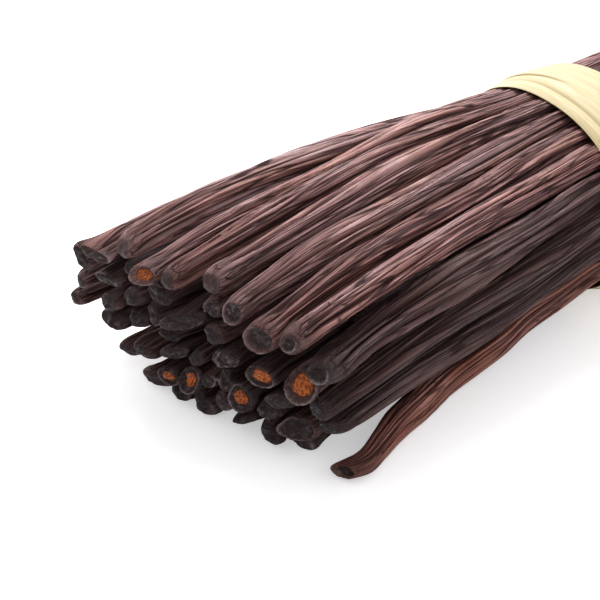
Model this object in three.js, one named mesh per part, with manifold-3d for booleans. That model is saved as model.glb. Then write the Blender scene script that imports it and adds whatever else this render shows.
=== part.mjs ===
// A bundle of cured vanilla pods, tied round the middle with raffia.
// Millimetres, +Z up. The pods lie along Y, with the fanned front ends towards -Y.
// The origin is on the surface that the bundle lies on, below its middle.
import * as THREE from "three";
import { mergeVertices } from "three/addons/utils/BufferGeometryUtils.js";
import Module from "manifold-3d";

// ---- driving dimensions ----

const POD_RADIUS = 3.0;
const FRONT_Y = -79.0;
const TIE_Y = 3.0;
const BACK_Y = 78.0;
const FACE_SKEW = Math.tan(THREE.MathUtils.degToRad(17)); // both faces of ends recede towards +X
const NODE_GAP = 0.3; // between meshes that would touch
const FLAT_SINK = 0.4; // how much of the lowest pods is cut away as a flat to rest on

// The bundle's outline at three stations: half width, half height, height off the floor.
const FRONT = { halfWidth: 31.0, halfHeight: 16.6, lift: -FLAT_SINK };
const TIE = { halfWidth: 22.4, halfHeight: 18.3, lift: 2.4 };
const BACK = { halfWidth: 29.0, halfHeight: 17.2, lift: -FLAT_SINK };
const OUTLINE_POWER = 2.2; // 2 is an ellipse, more is boxier
const WAIST_HALF = 8.0; // half the stretch under the band, where the outline keeps its size
const WAIST_ROUNDING = 0.15; // how gently the fan opens from there
const WIDTH_POWER = 0.55; // below 1 it spreads early, above 1 late
const HEIGHT_POWER = 2.2;

// The outer pods, anticlockwise from the right as seen from the front ends:
// x and z of the front end, angle round the tie in degrees, radius, how far the end reaches out.
const OUTER_PODS = [
  { x: 26.6, z: 10.2, tie: 4, radius: 2.9, reach: -1.5 },
  { x: 26.8, z: 15.9, tie: 20, radius: 3.2, reach: 1.2 },
  { x: 27.7, z: 23.4, tie: 38, radius: 4.6, reach: 1.2 },
  { x: 23.0, z: 28.1, tie: 54, radius: 2.9, reach: 2.4 },
  { x: 17.2, z: 26.4, tie: 69, radius: 3.5, reach: 2.6 },
  { x: 10.8, z: 28.3, tie: 83, radius: 2.8, reach: 1.6 },
  { x: 4.2, z: 30.2, tie: 96, radius: 3.2, reach: 0.0 },
  { x: -2.5, z: 29.2, tie: 107, radius: 3.0, reach: 2.2 },
  { x: -7.8, z: 28.0, tie: 118, radius: 3.2, reach: 2.2 },
  { x: -14.8, z: 29.3, tie: 129, radius: 3.1, reach: 0.0 },
  { x: -21.3, z: 25.4, tie: 141, radius: 2.5, reach: 0.4 },
  { x: -24.6, z: 23.4, tie: 152, radius: 2.2, reach: 0.4 },
  { x: -26.2, z: 17.1, tie: 163, radius: 2.2, reach: 0.0 },
  { x: -28.1, z: 12.2, tie: 176, radius: 2.4, reach: 0.0 },
  { x: -19.1, z: 11.7, tie: 194, radius: 2.7, reach: 0.0 },
  { x: -17.3, z: 5.2, tie: 212, radius: 2.4, reach: -1.0 },
  { x: -10.4, z: 2.8, tie: 229, radius: 2.8, reach: 0.0 },
  { x: 0.3, z: 2.6, tie: 245, radius: 2.9, reach: -0.4 },
  { x: 9.3, z: 3.2, tie: 260, radius: 2.9, reach: -1.0 },
  { x: 14.6, z: 2.7, tie: 275, radius: 2.9, reach: -1.5 },
  { x: 19.3, z: 2.6, tie: 290, radius: 2.9, reach: -3.2 },
  { x: 20.5, z: 8.0, tie: 314, radius: 2.7, reach: -1.2 },
];

// The pods inside: only their ends show.
const INNER_PODS = [
  { x: 25.1, z: 20.5, radius: 2.8, reach: 2.0 },
  { x: 17.0, z: 18.9, radius: 2.8, reach: 2.4 },
  { x: 11.2, z: 10.7, radius: 2.7, reach: 1.2 },
  { x: 0.0, z: 8.8, radius: 2.3, reach: 1.2 },
  { x: -5.2, z: 6.6, radius: 2.2, reach: 0.8 },
  { x: -1.7, z: 20.3, radius: 3.1, reach: 1.0 },
  { x: 2.9, z: 24.2, radius: 2.4, reach: -0.8 },
  { x: 4.7, z: 19.7, radius: 2.7, reach: 0.4 },
  { x: 6.9, z: 16.5, radius: 2.8, reach: 0.8 },
  { x: -20.1, z: 19.9, radius: 2.5, reach: -0.6 },
  { x: -19.0, z: 15.9, radius: 2.4, reach: 0.6 },
  { x: -14.0, z: 19.1, radius: 2.7, reach: 0.0 },
  { x: -6.8, z: 23.3, radius: 2.7, reach: 0.4 },
  { x: -10.1, z: 17.0, radius: 2.4, reach: -1.0 },
  { x: -14.0, z: 13.9, radius: 2.4, reach: -0.5 },
  { x: -6.2, z: 14.0, radius: 2.3, reach: -0.2 },
  { x: -4.8, z: 11.7, radius: 2.4, reach: 0.2 },
  { x: -12.5, z: 7.8, radius: 2.5, reach: 0.0 },
  { x: -0.3, z: 12.2, radius: 2.2, reach: -0.2 },
  { x: 2.9, z: 9.7, radius: 2.2, reach: 0.4 },
  { x: 6.4, z: 11.2, radius: 2.5, reach: 0.2 },
  { x: -4.4, z: 2.8, radius: 2.5, reach: -0.1 },
  { x: 5.7, z: 6.4, radius: 2.5, reach: 0.3 },
  { x: 15.7, z: 9.6, radius: 2.8, reach: 0.2 },
  { x: 19.4, z: 13.3, radius: 2.8, reach: 0.0 },
  { x: -16.9, z: 22.6, radius: 2.6, reach: -2.5 },
];

// The one pod that lies apart on the floor: its route from its front end, held under the band.
const STRAY_ROUTE = [
  [27.1, -66.9, 2.3],
  [27.3, -62.5, 2.6],
  [25.2, -58.0, 2.5],
  [22.8, -53.2, 2.4],
  [20.4, -46.1, 2.4],
  [18.3, -39.8, 2.9],
  [17.9, -33.8, 4.5],
  [18.1, -27.8, 7.0],
  [17.7, -22.2, 9.6],
  [18.0, -16.0, 11.8],
  [17.8, -8.0, 13.7],
  [17.5, TIE_Y, 14.8],
  [18.0, 16.0, 13.4],
  [20.6, 36.0, 8.2],
  [25.0, 60.0, 3.0],
  [28.5, 82.0, 2.4],
];
const STRAY_RADIUS = 2.6;
const STRAY_STEPS = 18;
const STRAY_SIDES = 8;

const BACK_SPREAD = 4.0; // how unevenly the back ends reach out, each way
const BACK_SEED = 11;

// The solid's own coarseness.
const OUTER_SIDES = 8;
const INNER_SIDES = 6;
const OUTER_STEPS = 3;
const STUB_LENGTH = 15.0; // how far an inner pod's end runs before it meets the core
const CORE_SETBACK = 7.0; // from the ends of the outer pods to the ends of the core
const CORE_SHARES = [0, 0.4, 0.75, 1]; // the core's rings, from its end to where it widens
const CORE_STEP = 6.0; // length over which it widens to the full outline beside the band
const CORE_BAND_MARGIN = 1.0; // how far that wide part reaches past the band
const WAIST_PROUD = 0.5; // the core's surface over the pods under the band
const BURIED_AT = 9.0; // from the middle of the band to where the outer pods' halves end
const TIP_LENGTH = 1.2; // from a pod's blunt tip to its full radius
const TIP_SHARE = 0.68;

// The raffia band and its knot, which sits on the far side with two tails hanging down.
const BAND_WIDTH = 18.0;
const BAND_INSIDE = 1.1; // from the pods' outline to the band's inner face
const BAND_THICKNESS = 1.5;
const BAND_EDGE = 0.5; // share of that thickness at the band's two edges
const BAND_WINDINGS = 4;
const BAND_RELIEF = 0.35;
const BAND_PROFILE_STEPS = 8;
const BAND_SIDES = 36;
const BAND_HUB = 10; // radius at which its profile is turned before it is fitted to the outline
const KNOT_ANGLE = Math.PI; // round the tie: straight out on the far side
const KNOT_HALF_SIZE = [3.0, 5.0, 3.6];
const KNOT_SEGMENTS = [12, 8];
const KNOT_LIFT = 1.5; // from the band's outer face to the middle of the knot
const TAIL_SIZE = [0.8, 5.0, 17.0];
const TAIL_TILTS = [-22, 16]; // degrees from hanging straight down
const TAIL_LEAN = 12; // degrees away from the bundle

const CUTTER_SIZE = [400, 400, 20]; // larger than all that could reach below the floor
const WELD_DISTANCE = 1e-4;

// ---- shared helpers ----

const wasm = await Module();
wasm.setup();

// Draws from 0 to 1, the same on every run: a linear congruential generator.
function randomSource(seed) {
  const [multiplier, increment, modulus] = [1664525, 1013904223, 2 ** 32];
  let state = seed;
  return () => {
    state = (state * multiplier + increment) % modulus;
    return state / modulus;
  };
}

function solidOf(geometry) {
  const bare = geometry.clone();
  bare.deleteAttribute("normal");
  bare.deleteAttribute("uv");
  const welded = mergeVertices(bare, WELD_DISTANCE);
  return new wasm.Manifold(
    new wasm.Mesh({
      numProp: 3,
      vertProperties: new Float32Array(welded.attributes.position.array),
      triVerts: new Uint32Array(welded.index.array),
    }),
  );
}

function geometryOf(solid) {
  const mesh = solid.getMesh();
  const geometry = new THREE.BufferGeometry();
  geometry.setAttribute("position", new THREE.BufferAttribute(new Float32Array(mesh.vertProperties), 3));
  geometry.setIndex(new THREE.BufferAttribute(new Uint32Array(mesh.triVerts), 1));
  geometry.computeVertexNormals();
  return geometry;
}

// ---- the bundle's outline ----

// How far the fan has opened at y: 0 under the band, 1 at either end, rounded where it starts.
function opening(y, power) {
  const end = y < TIE_Y ? FRONT_Y : BACK_Y;
  const run = Math.abs(end - TIE_Y) - WAIST_HALF;
  const share = Math.max(Math.abs(y - TIE_Y) - WAIST_HALF, 0) / run;
  const rounded = Math.hypot(share, WAIST_ROUNDING) - WAIST_ROUNDING;
  const full = Math.hypot(1, WAIST_ROUNDING) - WAIST_ROUNDING;
  return (rounded / full) ** power;
}

function sectionAt(y) {
  const end = y < TIE_Y ? FRONT : BACK;
  const blend = (key, power) => THREE.MathUtils.lerp(TIE[key], end[key], opening(y, power));
  const halfHeight = blend("halfHeight", HEIGHT_POWER);
  const halfWidth = blend("halfWidth", WIDTH_POWER);
  return { z: blend("lift", HEIGHT_POWER) + halfHeight, halfWidth, halfHeight };
}

// Distance from the centre to a rounded box of half size 1, at an angle.
function outlineRadius(angle) {
  const c = Math.abs(Math.cos(angle)) ** OUTLINE_POWER;
  const s = Math.abs(Math.sin(angle)) ** OUTLINE_POWER;
  return (c + s) ** (-1 / OUTLINE_POWER);
}

// A point of the outline at y, moved outward.
function outlinePoint(y, angle, outward) {
  const section = sectionAt(y);
  const r = outlineRadius(angle);
  return new THREE.Vector3(
    (section.halfWidth + outward) * r * Math.cos(angle),
    y,
    section.z + (section.halfHeight + outward) * r * Math.sin(angle),
  );
}

// ---- the pods' places ----

// A place in the front section as shares of the half sizes that pod centres can take.
function sharesOf(x, z) {
  const section = sectionAt(FRONT_Y);
  return {
    p: x / (section.halfWidth - POD_RADIUS),
    q: (z - section.z) / (section.halfHeight - POD_RADIUS),
  };
}

// Adds what a pod's route needs: its shares of the section at the front and at the tie, and its ends.
function withRoute(pod, random) {
  const front = sharesOf(pod.x, pod.z);
  const outer = pod.tie !== undefined;
  const tieAngle = THREE.MathUtils.degToRad(outer ? pod.tie : 0);
  const r = outlineRadius(tieAngle);
  const tieShares = outer ? { p: r * Math.cos(tieAngle), q: r * Math.sin(tieAngle) } : front;
  const backX = tieShares.p * (BACK.halfWidth - POD_RADIUS);
  const frontEnd = FRONT_Y + FACE_SKEW * pod.x - pod.reach;
  const backEnd = BACK_Y + FACE_SKEW * backX + (random() - 0.5) * 2 * BACK_SPREAD;
  return { ...pod, outer, front, tieAngle, tieShares, frontEnd, backEnd };
}

function podCentre(pod, y) {
  const section = sectionAt(y);
  const toFront = THREE.MathUtils.clamp((y - TIE_Y) / (FRONT_Y - TIE_Y), 0, 1);
  const p = THREE.MathUtils.lerp(pod.tieShares.p, pod.front.p, toFront);
  const q = THREE.MathUtils.lerp(pod.tieShares.q, pod.front.q, toFront);
  return new THREE.Vector3(
    p * (section.halfWidth - POD_RADIUS),
    y,
    section.z + q * (section.halfHeight - POD_RADIUS),
  );
}

// The band squeezes the thick pods down to the common radius.
function podRadius(pod, y) {
  return THREE.MathUtils.lerp(Math.min(pod.radius, POD_RADIUS), pod.radius, opening(y, WIDTH_POWER));
}

// ---- closed tubes along Y ----

// Rings at the stations, each with a corner for every side, closed by a point at either end.
// pointAt gives the place of a corner from its ring and its angle round the tube, or of an end's
// point when the angle is null.
function tubeSolid(ringCount, sides, pointAt) {
  const profile = [
    new THREE.Vector2(0, 0),
    ...Array.from({ length: ringCount }, (_, i) => new THREE.Vector2(1, i + 1)),
    new THREE.Vector2(0, ringCount + 1),
  ];
  const geometry = new THREE.LatheGeometry(profile, sides);
  const position = geometry.attributes.position;
  for (let i = 0; i < position.count; i++) {
    const row = Math.round(position.getY(i));
    const ring = THREE.MathUtils.clamp(row - 1, 0, ringCount - 1);
    const onAxis = row === 0 || row === ringCount + 1;
    const point = pointAt(ring, onAxis ? null : Math.atan2(position.getZ(i), position.getX(i)));
    position.setXYZ(i, point.x, point.y, point.z);
  }
  return solidOf(geometry);
}

// A round tube whose centre and radius follow the given functions of y.
function roundTube(stations, sides, centreAt, radiusAt) {
  return tubeSolid(stations.length, sides, (ring, angle) => {
    const y = stations[ring];
    const centre = centreAt(y);
    if (angle !== null) {
      centre.x += radiusAt(y) * Math.cos(angle);
      centre.z += radiusAt(y) * Math.sin(angle);
    }
    return centre;
  });
}

// Stations from a rounded tip to the buried end, close together at the tip.
function halfStations(tip, buried, steps) {
  const start = tip + Math.sign(buried - tip) * TIP_LENGTH;
  const run = Array.from({ length: steps + 1 }, (_, i) => THREE.MathUtils.lerp(start, buried, i / steps));
  return [tip, ...run].sort((a, b) => a - b);
}

// Half a pod, from its tip into the core.
function halfPodSolid(pod, tip, buried, steps, sides) {
  const radiusAt = (y) => podRadius(pod, y) * (y === tip ? TIP_SHARE : 1);
  return roundTube(halfStations(tip, buried, steps), sides, (y) => podCentre(pod, y), radiusAt);
}

// An outer pod shows from its tips to the band; an inner one shows only at its tips.
function podSolids(pod) {
  if (pod.outer) {
    return [
      halfPodSolid(pod, pod.frontEnd, TIE_Y - BURIED_AT, OUTER_STEPS, OUTER_SIDES),
      halfPodSolid(pod, pod.backEnd, TIE_Y + BURIED_AT, OUTER_STEPS, OUTER_SIDES),
    ];
  }
  return [
    halfPodSolid(pod, pod.frontEnd, pod.frontEnd + STUB_LENGTH, 1, INNER_SIDES),
    halfPodSolid(pod, pod.backEnd, pod.backEnd - STUB_LENGTH, 1, INNER_SIDES),
  ];
}

// The core: its corners run along the middles of the outer pods, and under the band it fills the
// whole outline.
function coreSolid(outerPods) {
  const wide = BAND_WIDTH / 2 + CORE_BAND_MARGIN;
  const ringAt = (yOf) => (pod) => podCentre(pod, yOf(pod));
  const frontRings = CORE_SHARES.map((share) =>
    ringAt((pod) => THREE.MathUtils.lerp(pod.frontEnd + CORE_SETBACK, TIE_Y - wide - CORE_STEP, share)),
  );
  const backRings = CORE_SHARES.map((share) =>
    ringAt((pod) => THREE.MathUtils.lerp(pod.backEnd - CORE_SETBACK, TIE_Y + wide + CORE_STEP, share)),
  );
  const waistRings = [-wide, wide].map(
    (along) => (pod) => outlinePoint(TIE_Y + along, pod.tieAngle, WAIST_PROUD),
  );
  const rings = [...frontRings, ...waistRings, ...backRings.toReversed()];
  return tubeSolid(rings.length, outerPods.length, (ring, angle) => {
    const corners = outerPods.map(rings[ring]);
    if (angle === null) {
      return corners.reduce((sum, corner) => sum.add(corner)).divideScalar(corners.length);
    }
    const turn = Math.round((angle / (2 * Math.PI)) * corners.length);
    return corners[(turn + corners.length) % corners.length];
  });
}

// ---- the pod that lies apart ----

// Its centre at y: a smooth curve through the route's points, which all lie further along Y in turn.
function strayCentre(y) {
  const last = STRAY_ROUTE.length - 2;
  const i = THREE.MathUtils.clamp(STRAY_ROUTE.findIndex((point) => point[1] > y) - 1, 0, last);
  const [before, from, to, after] = [i - 1, i, i + 1, i + 2].map(
    (k) => STRAY_ROUTE[THREE.MathUtils.clamp(k, 0, last + 1)],
  );
  const share = THREE.MathUtils.clamp((y - from[1]) / (to[1] - from[1]), 0, 1);
  const along = (axis) => {
    const slopeFrom = ((to[axis] - before[axis]) / (to[1] - before[1])) * (to[1] - from[1]);
    const slopeTo = ((after[axis] - from[axis]) / (after[1] - from[1])) * (to[1] - from[1]);
    const s2 = share * share;
    const s3 = s2 * share;
    return (
      (2 * s3 - 3 * s2 + 1) * from[axis] +
      (s3 - 2 * s2 + share) * slopeFrom +
      (3 * s2 - 2 * s3) * to[axis] +
      (s3 - s2) * slopeTo
    );
  };
  return new THREE.Vector3(along(0), y, along(2));
}

function straySolid(grow) {
  const start = STRAY_ROUTE[0][1] - grow;
  const end = STRAY_ROUTE.at(-1)[1] + grow;
  const inner = Array.from({ length: STRAY_STEPS + 1 }, (_, i) =>
    THREE.MathUtils.lerp(start + TIP_LENGTH, end - TIP_LENGTH, i / STRAY_STEPS),
  );
  const radiusAt = (y) => (STRAY_RADIUS + grow) * (y === start || y === end ? TIP_SHARE : 1);
  return roundTube([start, ...inner, end], STRAY_SIDES, strayCentre, radiusAt);
}

// ---- the raffia ----

// The band: a closed profile, ridged outside by its windings, carried round the tie's outline.
function bandSolid() {
  const ridge = (share) => BAND_RELIEF * Math.abs(Math.sin(Math.PI * BAND_WINDINGS * share));
  const yAt = (share) => TIE_Y + (share - 0.5) * BAND_WIDTH;
  const outside = Array.from({ length: BAND_PROFILE_STEPS + 1 }, (_, i) => {
    const share = i / BAND_PROFILE_STEPS;
    const edge = i === 0 || i === BAND_PROFILE_STEPS ? BAND_EDGE : 1;
    return new THREE.Vector2(BAND_HUB + BAND_INSIDE + BAND_THICKNESS * edge + ridge(share), yAt(share));
  });
  const inside = [yAt(1), yAt(0)].map((y) => new THREE.Vector2(BAND_HUB + BAND_INSIDE, y));
  const profile = [...outside, ...inside, outside[0].clone()];
  const geometry = new THREE.LatheGeometry(profile, BAND_SIDES);
  const position = geometry.attributes.position;
  for (let i = 0; i < position.count; i++) {
    const outward = Math.hypot(position.getX(i), position.getZ(i)) - BAND_HUB;
    const angle = Math.atan2(position.getZ(i), position.getX(i));
    const point = outlinePoint(TIE_Y, angle, outward);
    position.setXYZ(i, point.x, position.getY(i), point.z);
  }
  return solidOf(geometry);
}

function knotSolids() {
  const seat = outlinePoint(TIE_Y, KNOT_ANGLE, BAND_INSIDE + BAND_THICKNESS + KNOT_LIFT);
  const lump = new THREE.SphereGeometry(1, ...KNOT_SEGMENTS).scale(...KNOT_HALF_SIZE).translate(...seat);
  const tails = TAIL_TILTS.map((tilt) => {
    const tail = new THREE.BoxGeometry(...TAIL_SIZE).translate(0, 0, -TAIL_SIZE[2] / 2);
    tail.rotateX(THREE.MathUtils.degToRad(tilt));
    tail.rotateY(THREE.MathUtils.degToRad(TAIL_LEAN));
    return solidOf(tail.translate(...seat));
  });
  return [solidOf(lump), ...tails];
}

// ---- assembly ----

function joined(solids) {
  return solids.reduce((whole, solid) => whole.add(solid));
}

// Cuts away what reaches below the floor, which leaves flat spots to rest on.
function rested(solid) {
  const below = new THREE.BoxGeometry(...CUTTER_SIZE).translate(0, 0, -CUTTER_SIZE[2] / 2);
  return solid.subtract(solidOf(below));
}

function namedMesh(name, solid, color, roughness) {
  const material = new THREE.MeshStandardMaterial({ color, roughness, metalness: 0 });
  const mesh = new THREE.Mesh(geometryOf(solid), material);
  mesh.name = name;
  return mesh;
}

const random = randomSource(BACK_SEED);
const pods = [...OUTER_PODS, ...INNER_PODS].map((pod) => withRoute(pod, random));
const core = coreSolid(pods.filter((pod) => pod.outer));
const bundle = joined([core, ...pods.flatMap(podSolids)]).subtract(straySolid(NODE_GAP));
const band = joined([bandSolid(), ...knotSolids()]);

const group = new THREE.Group();
group.add(namedMesh("pod_bundle", rested(bundle), 0x3c2521, 0.5));
group.add(namedMesh("stray_pod", rested(straySolid(0)), 0x50302a, 0.5));
group.add(namedMesh("raffia_tie", rested(band), 0xead6a4, 0.6));

export default group;
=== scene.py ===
"""A bundle of cured vanilla pods tied round the middle with raffia.

Shapes are worked out in millimetres, +Z up, with the pods along Y and their fanned front ends
towards -Y. The origin is on the surface that the bundle lies on, below its middle.
"""

import math
from collections import namedtuple
from functools import reduce

import bpy
import numpy as np
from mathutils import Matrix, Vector


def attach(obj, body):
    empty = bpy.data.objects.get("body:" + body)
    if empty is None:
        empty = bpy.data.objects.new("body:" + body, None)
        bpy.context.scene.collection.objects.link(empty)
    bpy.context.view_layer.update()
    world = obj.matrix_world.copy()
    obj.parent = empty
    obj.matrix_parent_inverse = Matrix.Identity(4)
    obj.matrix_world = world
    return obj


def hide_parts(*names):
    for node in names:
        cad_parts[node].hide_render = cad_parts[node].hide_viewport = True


bl_info = {
    "name": "Vanilla pod bundle",
    "version": (1, 0, 0),
    "blender": (4, 5, 0),
    "location": "3D View > Sidebar > Pods",
    "description": "Builds a bundle of cured vanilla pods tied with raffia",
    "category": "Object",
}

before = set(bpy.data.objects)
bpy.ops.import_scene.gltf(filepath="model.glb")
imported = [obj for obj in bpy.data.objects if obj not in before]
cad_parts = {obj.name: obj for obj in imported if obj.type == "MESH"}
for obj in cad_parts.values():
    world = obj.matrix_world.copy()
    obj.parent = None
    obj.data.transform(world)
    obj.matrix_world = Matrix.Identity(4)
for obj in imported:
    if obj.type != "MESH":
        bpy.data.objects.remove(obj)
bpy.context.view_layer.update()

MM = 0.001
BODY = "root"

# ---- where the bundle and its pods lie, as in the frame ----

POD_RADIUS = 3.0
FRONT_Y = -79.0
TIE_Y = 3.0
BACK_Y = 78.0
FACE_SKEW = math.tan(math.radians(17.0))  # both faces of ends recede towards +X
FLAT_SINK = 0.4
BACK_SPREAD = 4.0  # how far the back ends stand before or behind their face
BACK_SEED = 11
WANDER_SEED = 5
WANDER_LENGTHS = (45.0, 110.0)  # from one crest of a pod's sideways wave to the next
WANDER_START = 30.0  # how far from the tie that wave has its full size

Section = namedtuple("Section", "half_width half_height lift")
FRONT = Section(31.0, 16.6, -FLAT_SINK)
TIE = Section(22.4, 18.3, 2.4)
BACK = Section(29.0, 17.2, -FLAT_SINK)
OUTLINE_POWER = 2.2
WAIST_HALF = 8.0
WAIST_ROUNDING = 0.15
WIDTH_POWER = 0.55
HEIGHT_POWER = 2.2

# x and z of the front end, angle round the tie, radius, reach of the front end, end, colouring.
Pod = namedtuple("Pod", "x z tie radius reach end tone")
OUTER_PODS = (
    Pod(26.6, 10.2, 4, 2.9, -1.5, "bean", "dark"),
    Pod(26.8, 15.9, 20, 3.2, 1.2, "blunt", "dark"),
    Pod(27.7, 23.4, 38, 4.6, 1.2, "wide", "olive"),
    Pod(23.0, 28.1, 54, 2.9, 2.4, "eye", "rosy"),
    Pod(17.2, 26.4, 69, 3.5, 2.6, "disc", "russet"),
    # the pale and ashen pods on top are partly lighter as painted sheen
    Pod(10.8, 28.3, 83, 2.8, 1.6, "collar", "pale"),
    Pod(4.2, 30.2, 96, 3.2, 0.0, "knob", "pale"),
    Pod(-2.5, 29.2, 107, 3.0, 2.2, "knob", "russet"),
    Pod(-7.8, 28.0, 118, 3.2, 2.2, "nozzle", "ashen_sheen"),
    Pod(-14.8, 29.3, 129, 3.1, 0.0, "blunt", "ashen_sheen"),
    Pod(-21.3, 25.4, 141, 2.5, 0.4, "curl", "ashen_sheen"),
    Pod(-24.6, 23.4, 152, 2.2, 0.4, "slant", "brown"),
    Pod(-26.2, 17.1, 163, 2.2, 0.0, "blunt", "brown"),
    Pod(-28.1, 12.2, 176, 2.4, 0.0, "blunt", "brown"),
    Pod(-19.1, 11.7, 194, 2.7, 0.0, "slant", "dark"),
    Pod(-17.3, 5.2, 212, 2.4, -1.0, "bean", "brown"),
    Pod(-10.4, 2.8, 229, 2.8, 0.0, "bean", "brown"),
    Pod(0.3, 2.6, 245, 2.9, -0.4, "bean", "dark"),
    Pod(9.3, 3.2, 260, 2.9, -1.0, "fin", "dark"),
    Pod(14.6, 2.7, 275, 2.9, -1.5, "bean", "dark"),
    Pod(19.3, 2.6, 290, 2.9, -3.2, "bean", "dark"),
    Pod(20.5, 8.0, 314, 2.7, -1.2, "wedge", "brown"),
)
INNER_PODS = (
    Pod(25.1, 20.5, None, 2.8, 2.0, "open", "grey"),
    Pod(17.0, 18.9, None, 2.8, 2.4, "open", "dark"),
    Pod(11.2, 10.7, None, 2.7, 1.2, "pith", "dark"),
    Pod(0.0, 8.8, None, 2.3, 1.2, "pith", "dark"),
    Pod(-5.2, 6.6, None, 2.2, 0.8, "pith", "dark"),
    Pod(-1.7, 20.3, None, 3.1, 1.0, "lens", "olive"),
    Pod(2.9, 24.2, None, 2.4, -0.8, "crumple", "grey"),
    Pod(4.7, 19.7, None, 2.7, 0.4, "bean", "grey"),
    Pod(6.9, 16.5, None, 2.8, 0.8, "crumple", "dark"),
    Pod(-20.1, 19.9, None, 2.5, -0.6, "curl", "grey"),
    Pod(-19.0, 15.9, None, 2.4, 0.6, "bean", "brown"),
    Pod(-14.0, 19.1, None, 2.7, 0.0, "blunt", "olive"),
    Pod(-6.8, 23.3, None, 2.7, 0.4, "lens", "olive"),
    Pod(-10.1, 17.0, None, 2.4, -1.0, "curl", "dark"),
    Pod(-14.0, 13.9, None, 2.4, -0.5, "bean", "dark"),
    Pod(-6.2, 14.0, None, 2.3, -0.2, "fin", "dark"),
    Pod(-4.8, 11.7, None, 2.4, 0.2, "lens", "dark"),
    Pod(-12.5, 7.8, None, 2.5, 0.0, "bean", "grey"),
    Pod(-0.3, 12.2, None, 2.2, -0.2, "knob", "brown"),
    Pod(2.9, 9.7, None, 2.2, 0.4, "lens", "grey"),
    Pod(6.4, 11.2, None, 2.5, 0.2, "crumple", "dark"),
    Pod(-4.4, 2.8, None, 2.5, -0.1, "bean", "dark"),
    Pod(5.7, 6.4, None, 2.5, 0.3, "blunt", "brown"),
    Pod(15.7, 9.6, None, 2.8, 0.2, "ridged", "dark"),
    Pod(19.4, 13.3, None, 2.8, 0.0, "lens", "dark"),
    Pod(-16.9, 22.6, None, 2.6, -2.5, "blunt", "dark"),
)
INNER_DRAW = 0.65  # inner pods run this share as far from the middle at the band as at the ends
BACK_ENDS = ("blunt", "knob", "scar", "bean", "blunt", "crumple", "curl", "eye")

# The pod that lies apart: x, y and z of its middle from its front end, held under the band.
STRAY_ROUTE = (
    (27.1, -66.9, 2.3),
    (27.3, -62.5, 2.6),
    (25.2, -58.0, 2.5),
    (22.8, -53.2, 2.4),
    (20.4, -46.1, 2.4),
    (18.3, -39.8, 2.9),
    (17.9, -33.8, 4.5),
    (18.1, -27.8, 7.0),
    (17.7, -22.2, 9.6),
    (18.0, -16.0, 11.8),
    (17.8, -8.0, 13.7),
    (17.5, TIE_Y, 14.8),
    (18.0, 16.0, 13.4),
    (20.6, 36.0, 8.2),
    (25.0, 60.0, 3.0),
    (28.5, 82.0, 2.4),
)
STRAY_RADIUS = 2.6
STRAY_FACING = math.radians(20.0)  # the side of it that shows most
STRAY_SEED = 300
STRAY_EXTRA_SIDES = 16  # points round it and rings along it beyond those of the other pods
STRAY_EXTRA_RINGS = 60
STRAY_SWELL = 0.20  # how much thicker it is, as a share, where it climbs the bundle's side
STRAY_SWELL_Y = -24.0
STRAY_SWELL_LENGTH = 22.0

# How warm and how light each colouring is. The pale and ashen top pods are partly paler by tone
# and partly lighter as painted sheen from the light above.
TONES = {
    "dark": (0.08, 0.62),
    "olive": (0.14, 0.80),
    "brown": (0.36, 0.95),
    "grey": (0.42, 1.05),
    "pale": (0.24, 2.08),
    "ashen_sheen": (0.22, 2.55),
    "rosy": (0.56, 1.35),
    "russet": (0.76, 1.00),
    "lone": (0.55, 1.90),
}
INNER_PAINTED_SHADE = 0.66  # pods inside the bundle are darkened, as painted shade among the other pods

# ---- how pods end ----

# Each profile runs from the shoulder to the middle of the end: how far out and how far from the
# axis, in shares of the pod's radius.
ROUND_PROFILE = ((-1.30, 1.00), (-0.80, 0.96), (-0.40, 0.84), (-0.14, 0.64), (-0.02, 0.38), (0.0, 0.04))
SCAR_PROFILE = ((-0.66, 1.00), (-0.30, 0.98), (-0.07, 0.93), (0.0, 0.87), (-0.04, 0.82), (-0.13, 0.76),
                (-0.20, 0.50), (-0.16, 0.25), (-0.12, 0.04))
LENS_PROFILE = ((-0.95, 1.00), (-0.50, 0.97), (-0.22, 0.90), (-0.12, 0.82), (-0.06, 0.60), (-0.01, 0.30),
                (0.0, 0.04))
EYE_PROFILE = ((-1.15, 1.00), (-0.66, 0.95), (-0.28, 0.80), (-0.06, 0.60), (0.0, 0.46), (-0.05, 0.38),
               (-0.14, 0.32), (-0.16, 0.16), (-0.15, 0.04))
DISC_PROFILE = ((-0.85, 1.00), (-0.40, 0.98), (-0.10, 0.90), (0.0, 0.80), (-0.06, 0.70), (-0.16, 0.62),
                (-0.18, 0.40), (-0.12, 0.20), (-0.12, 0.04))
OPEN_PROFILE = ((-0.80, 1.00), (-0.34, 0.99), (-0.08, 0.94), (0.0, 0.87), (-0.08, 0.79), (-0.26, 0.70),
                (-0.20, 0.50), (-0.08, 0.25), (-0.05, 0.04))
RIDGED_PROFILE = ((-0.85, 1.00), (-0.42, 0.96), (-0.40, 0.88), (-0.27, 0.86), (-0.15, 0.75), (-0.18, 0.67),
                  (-0.06, 0.60), (0.0, 0.46), (-0.06, 0.38), (0.02, 0.26), (0.0, 0.04))

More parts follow.
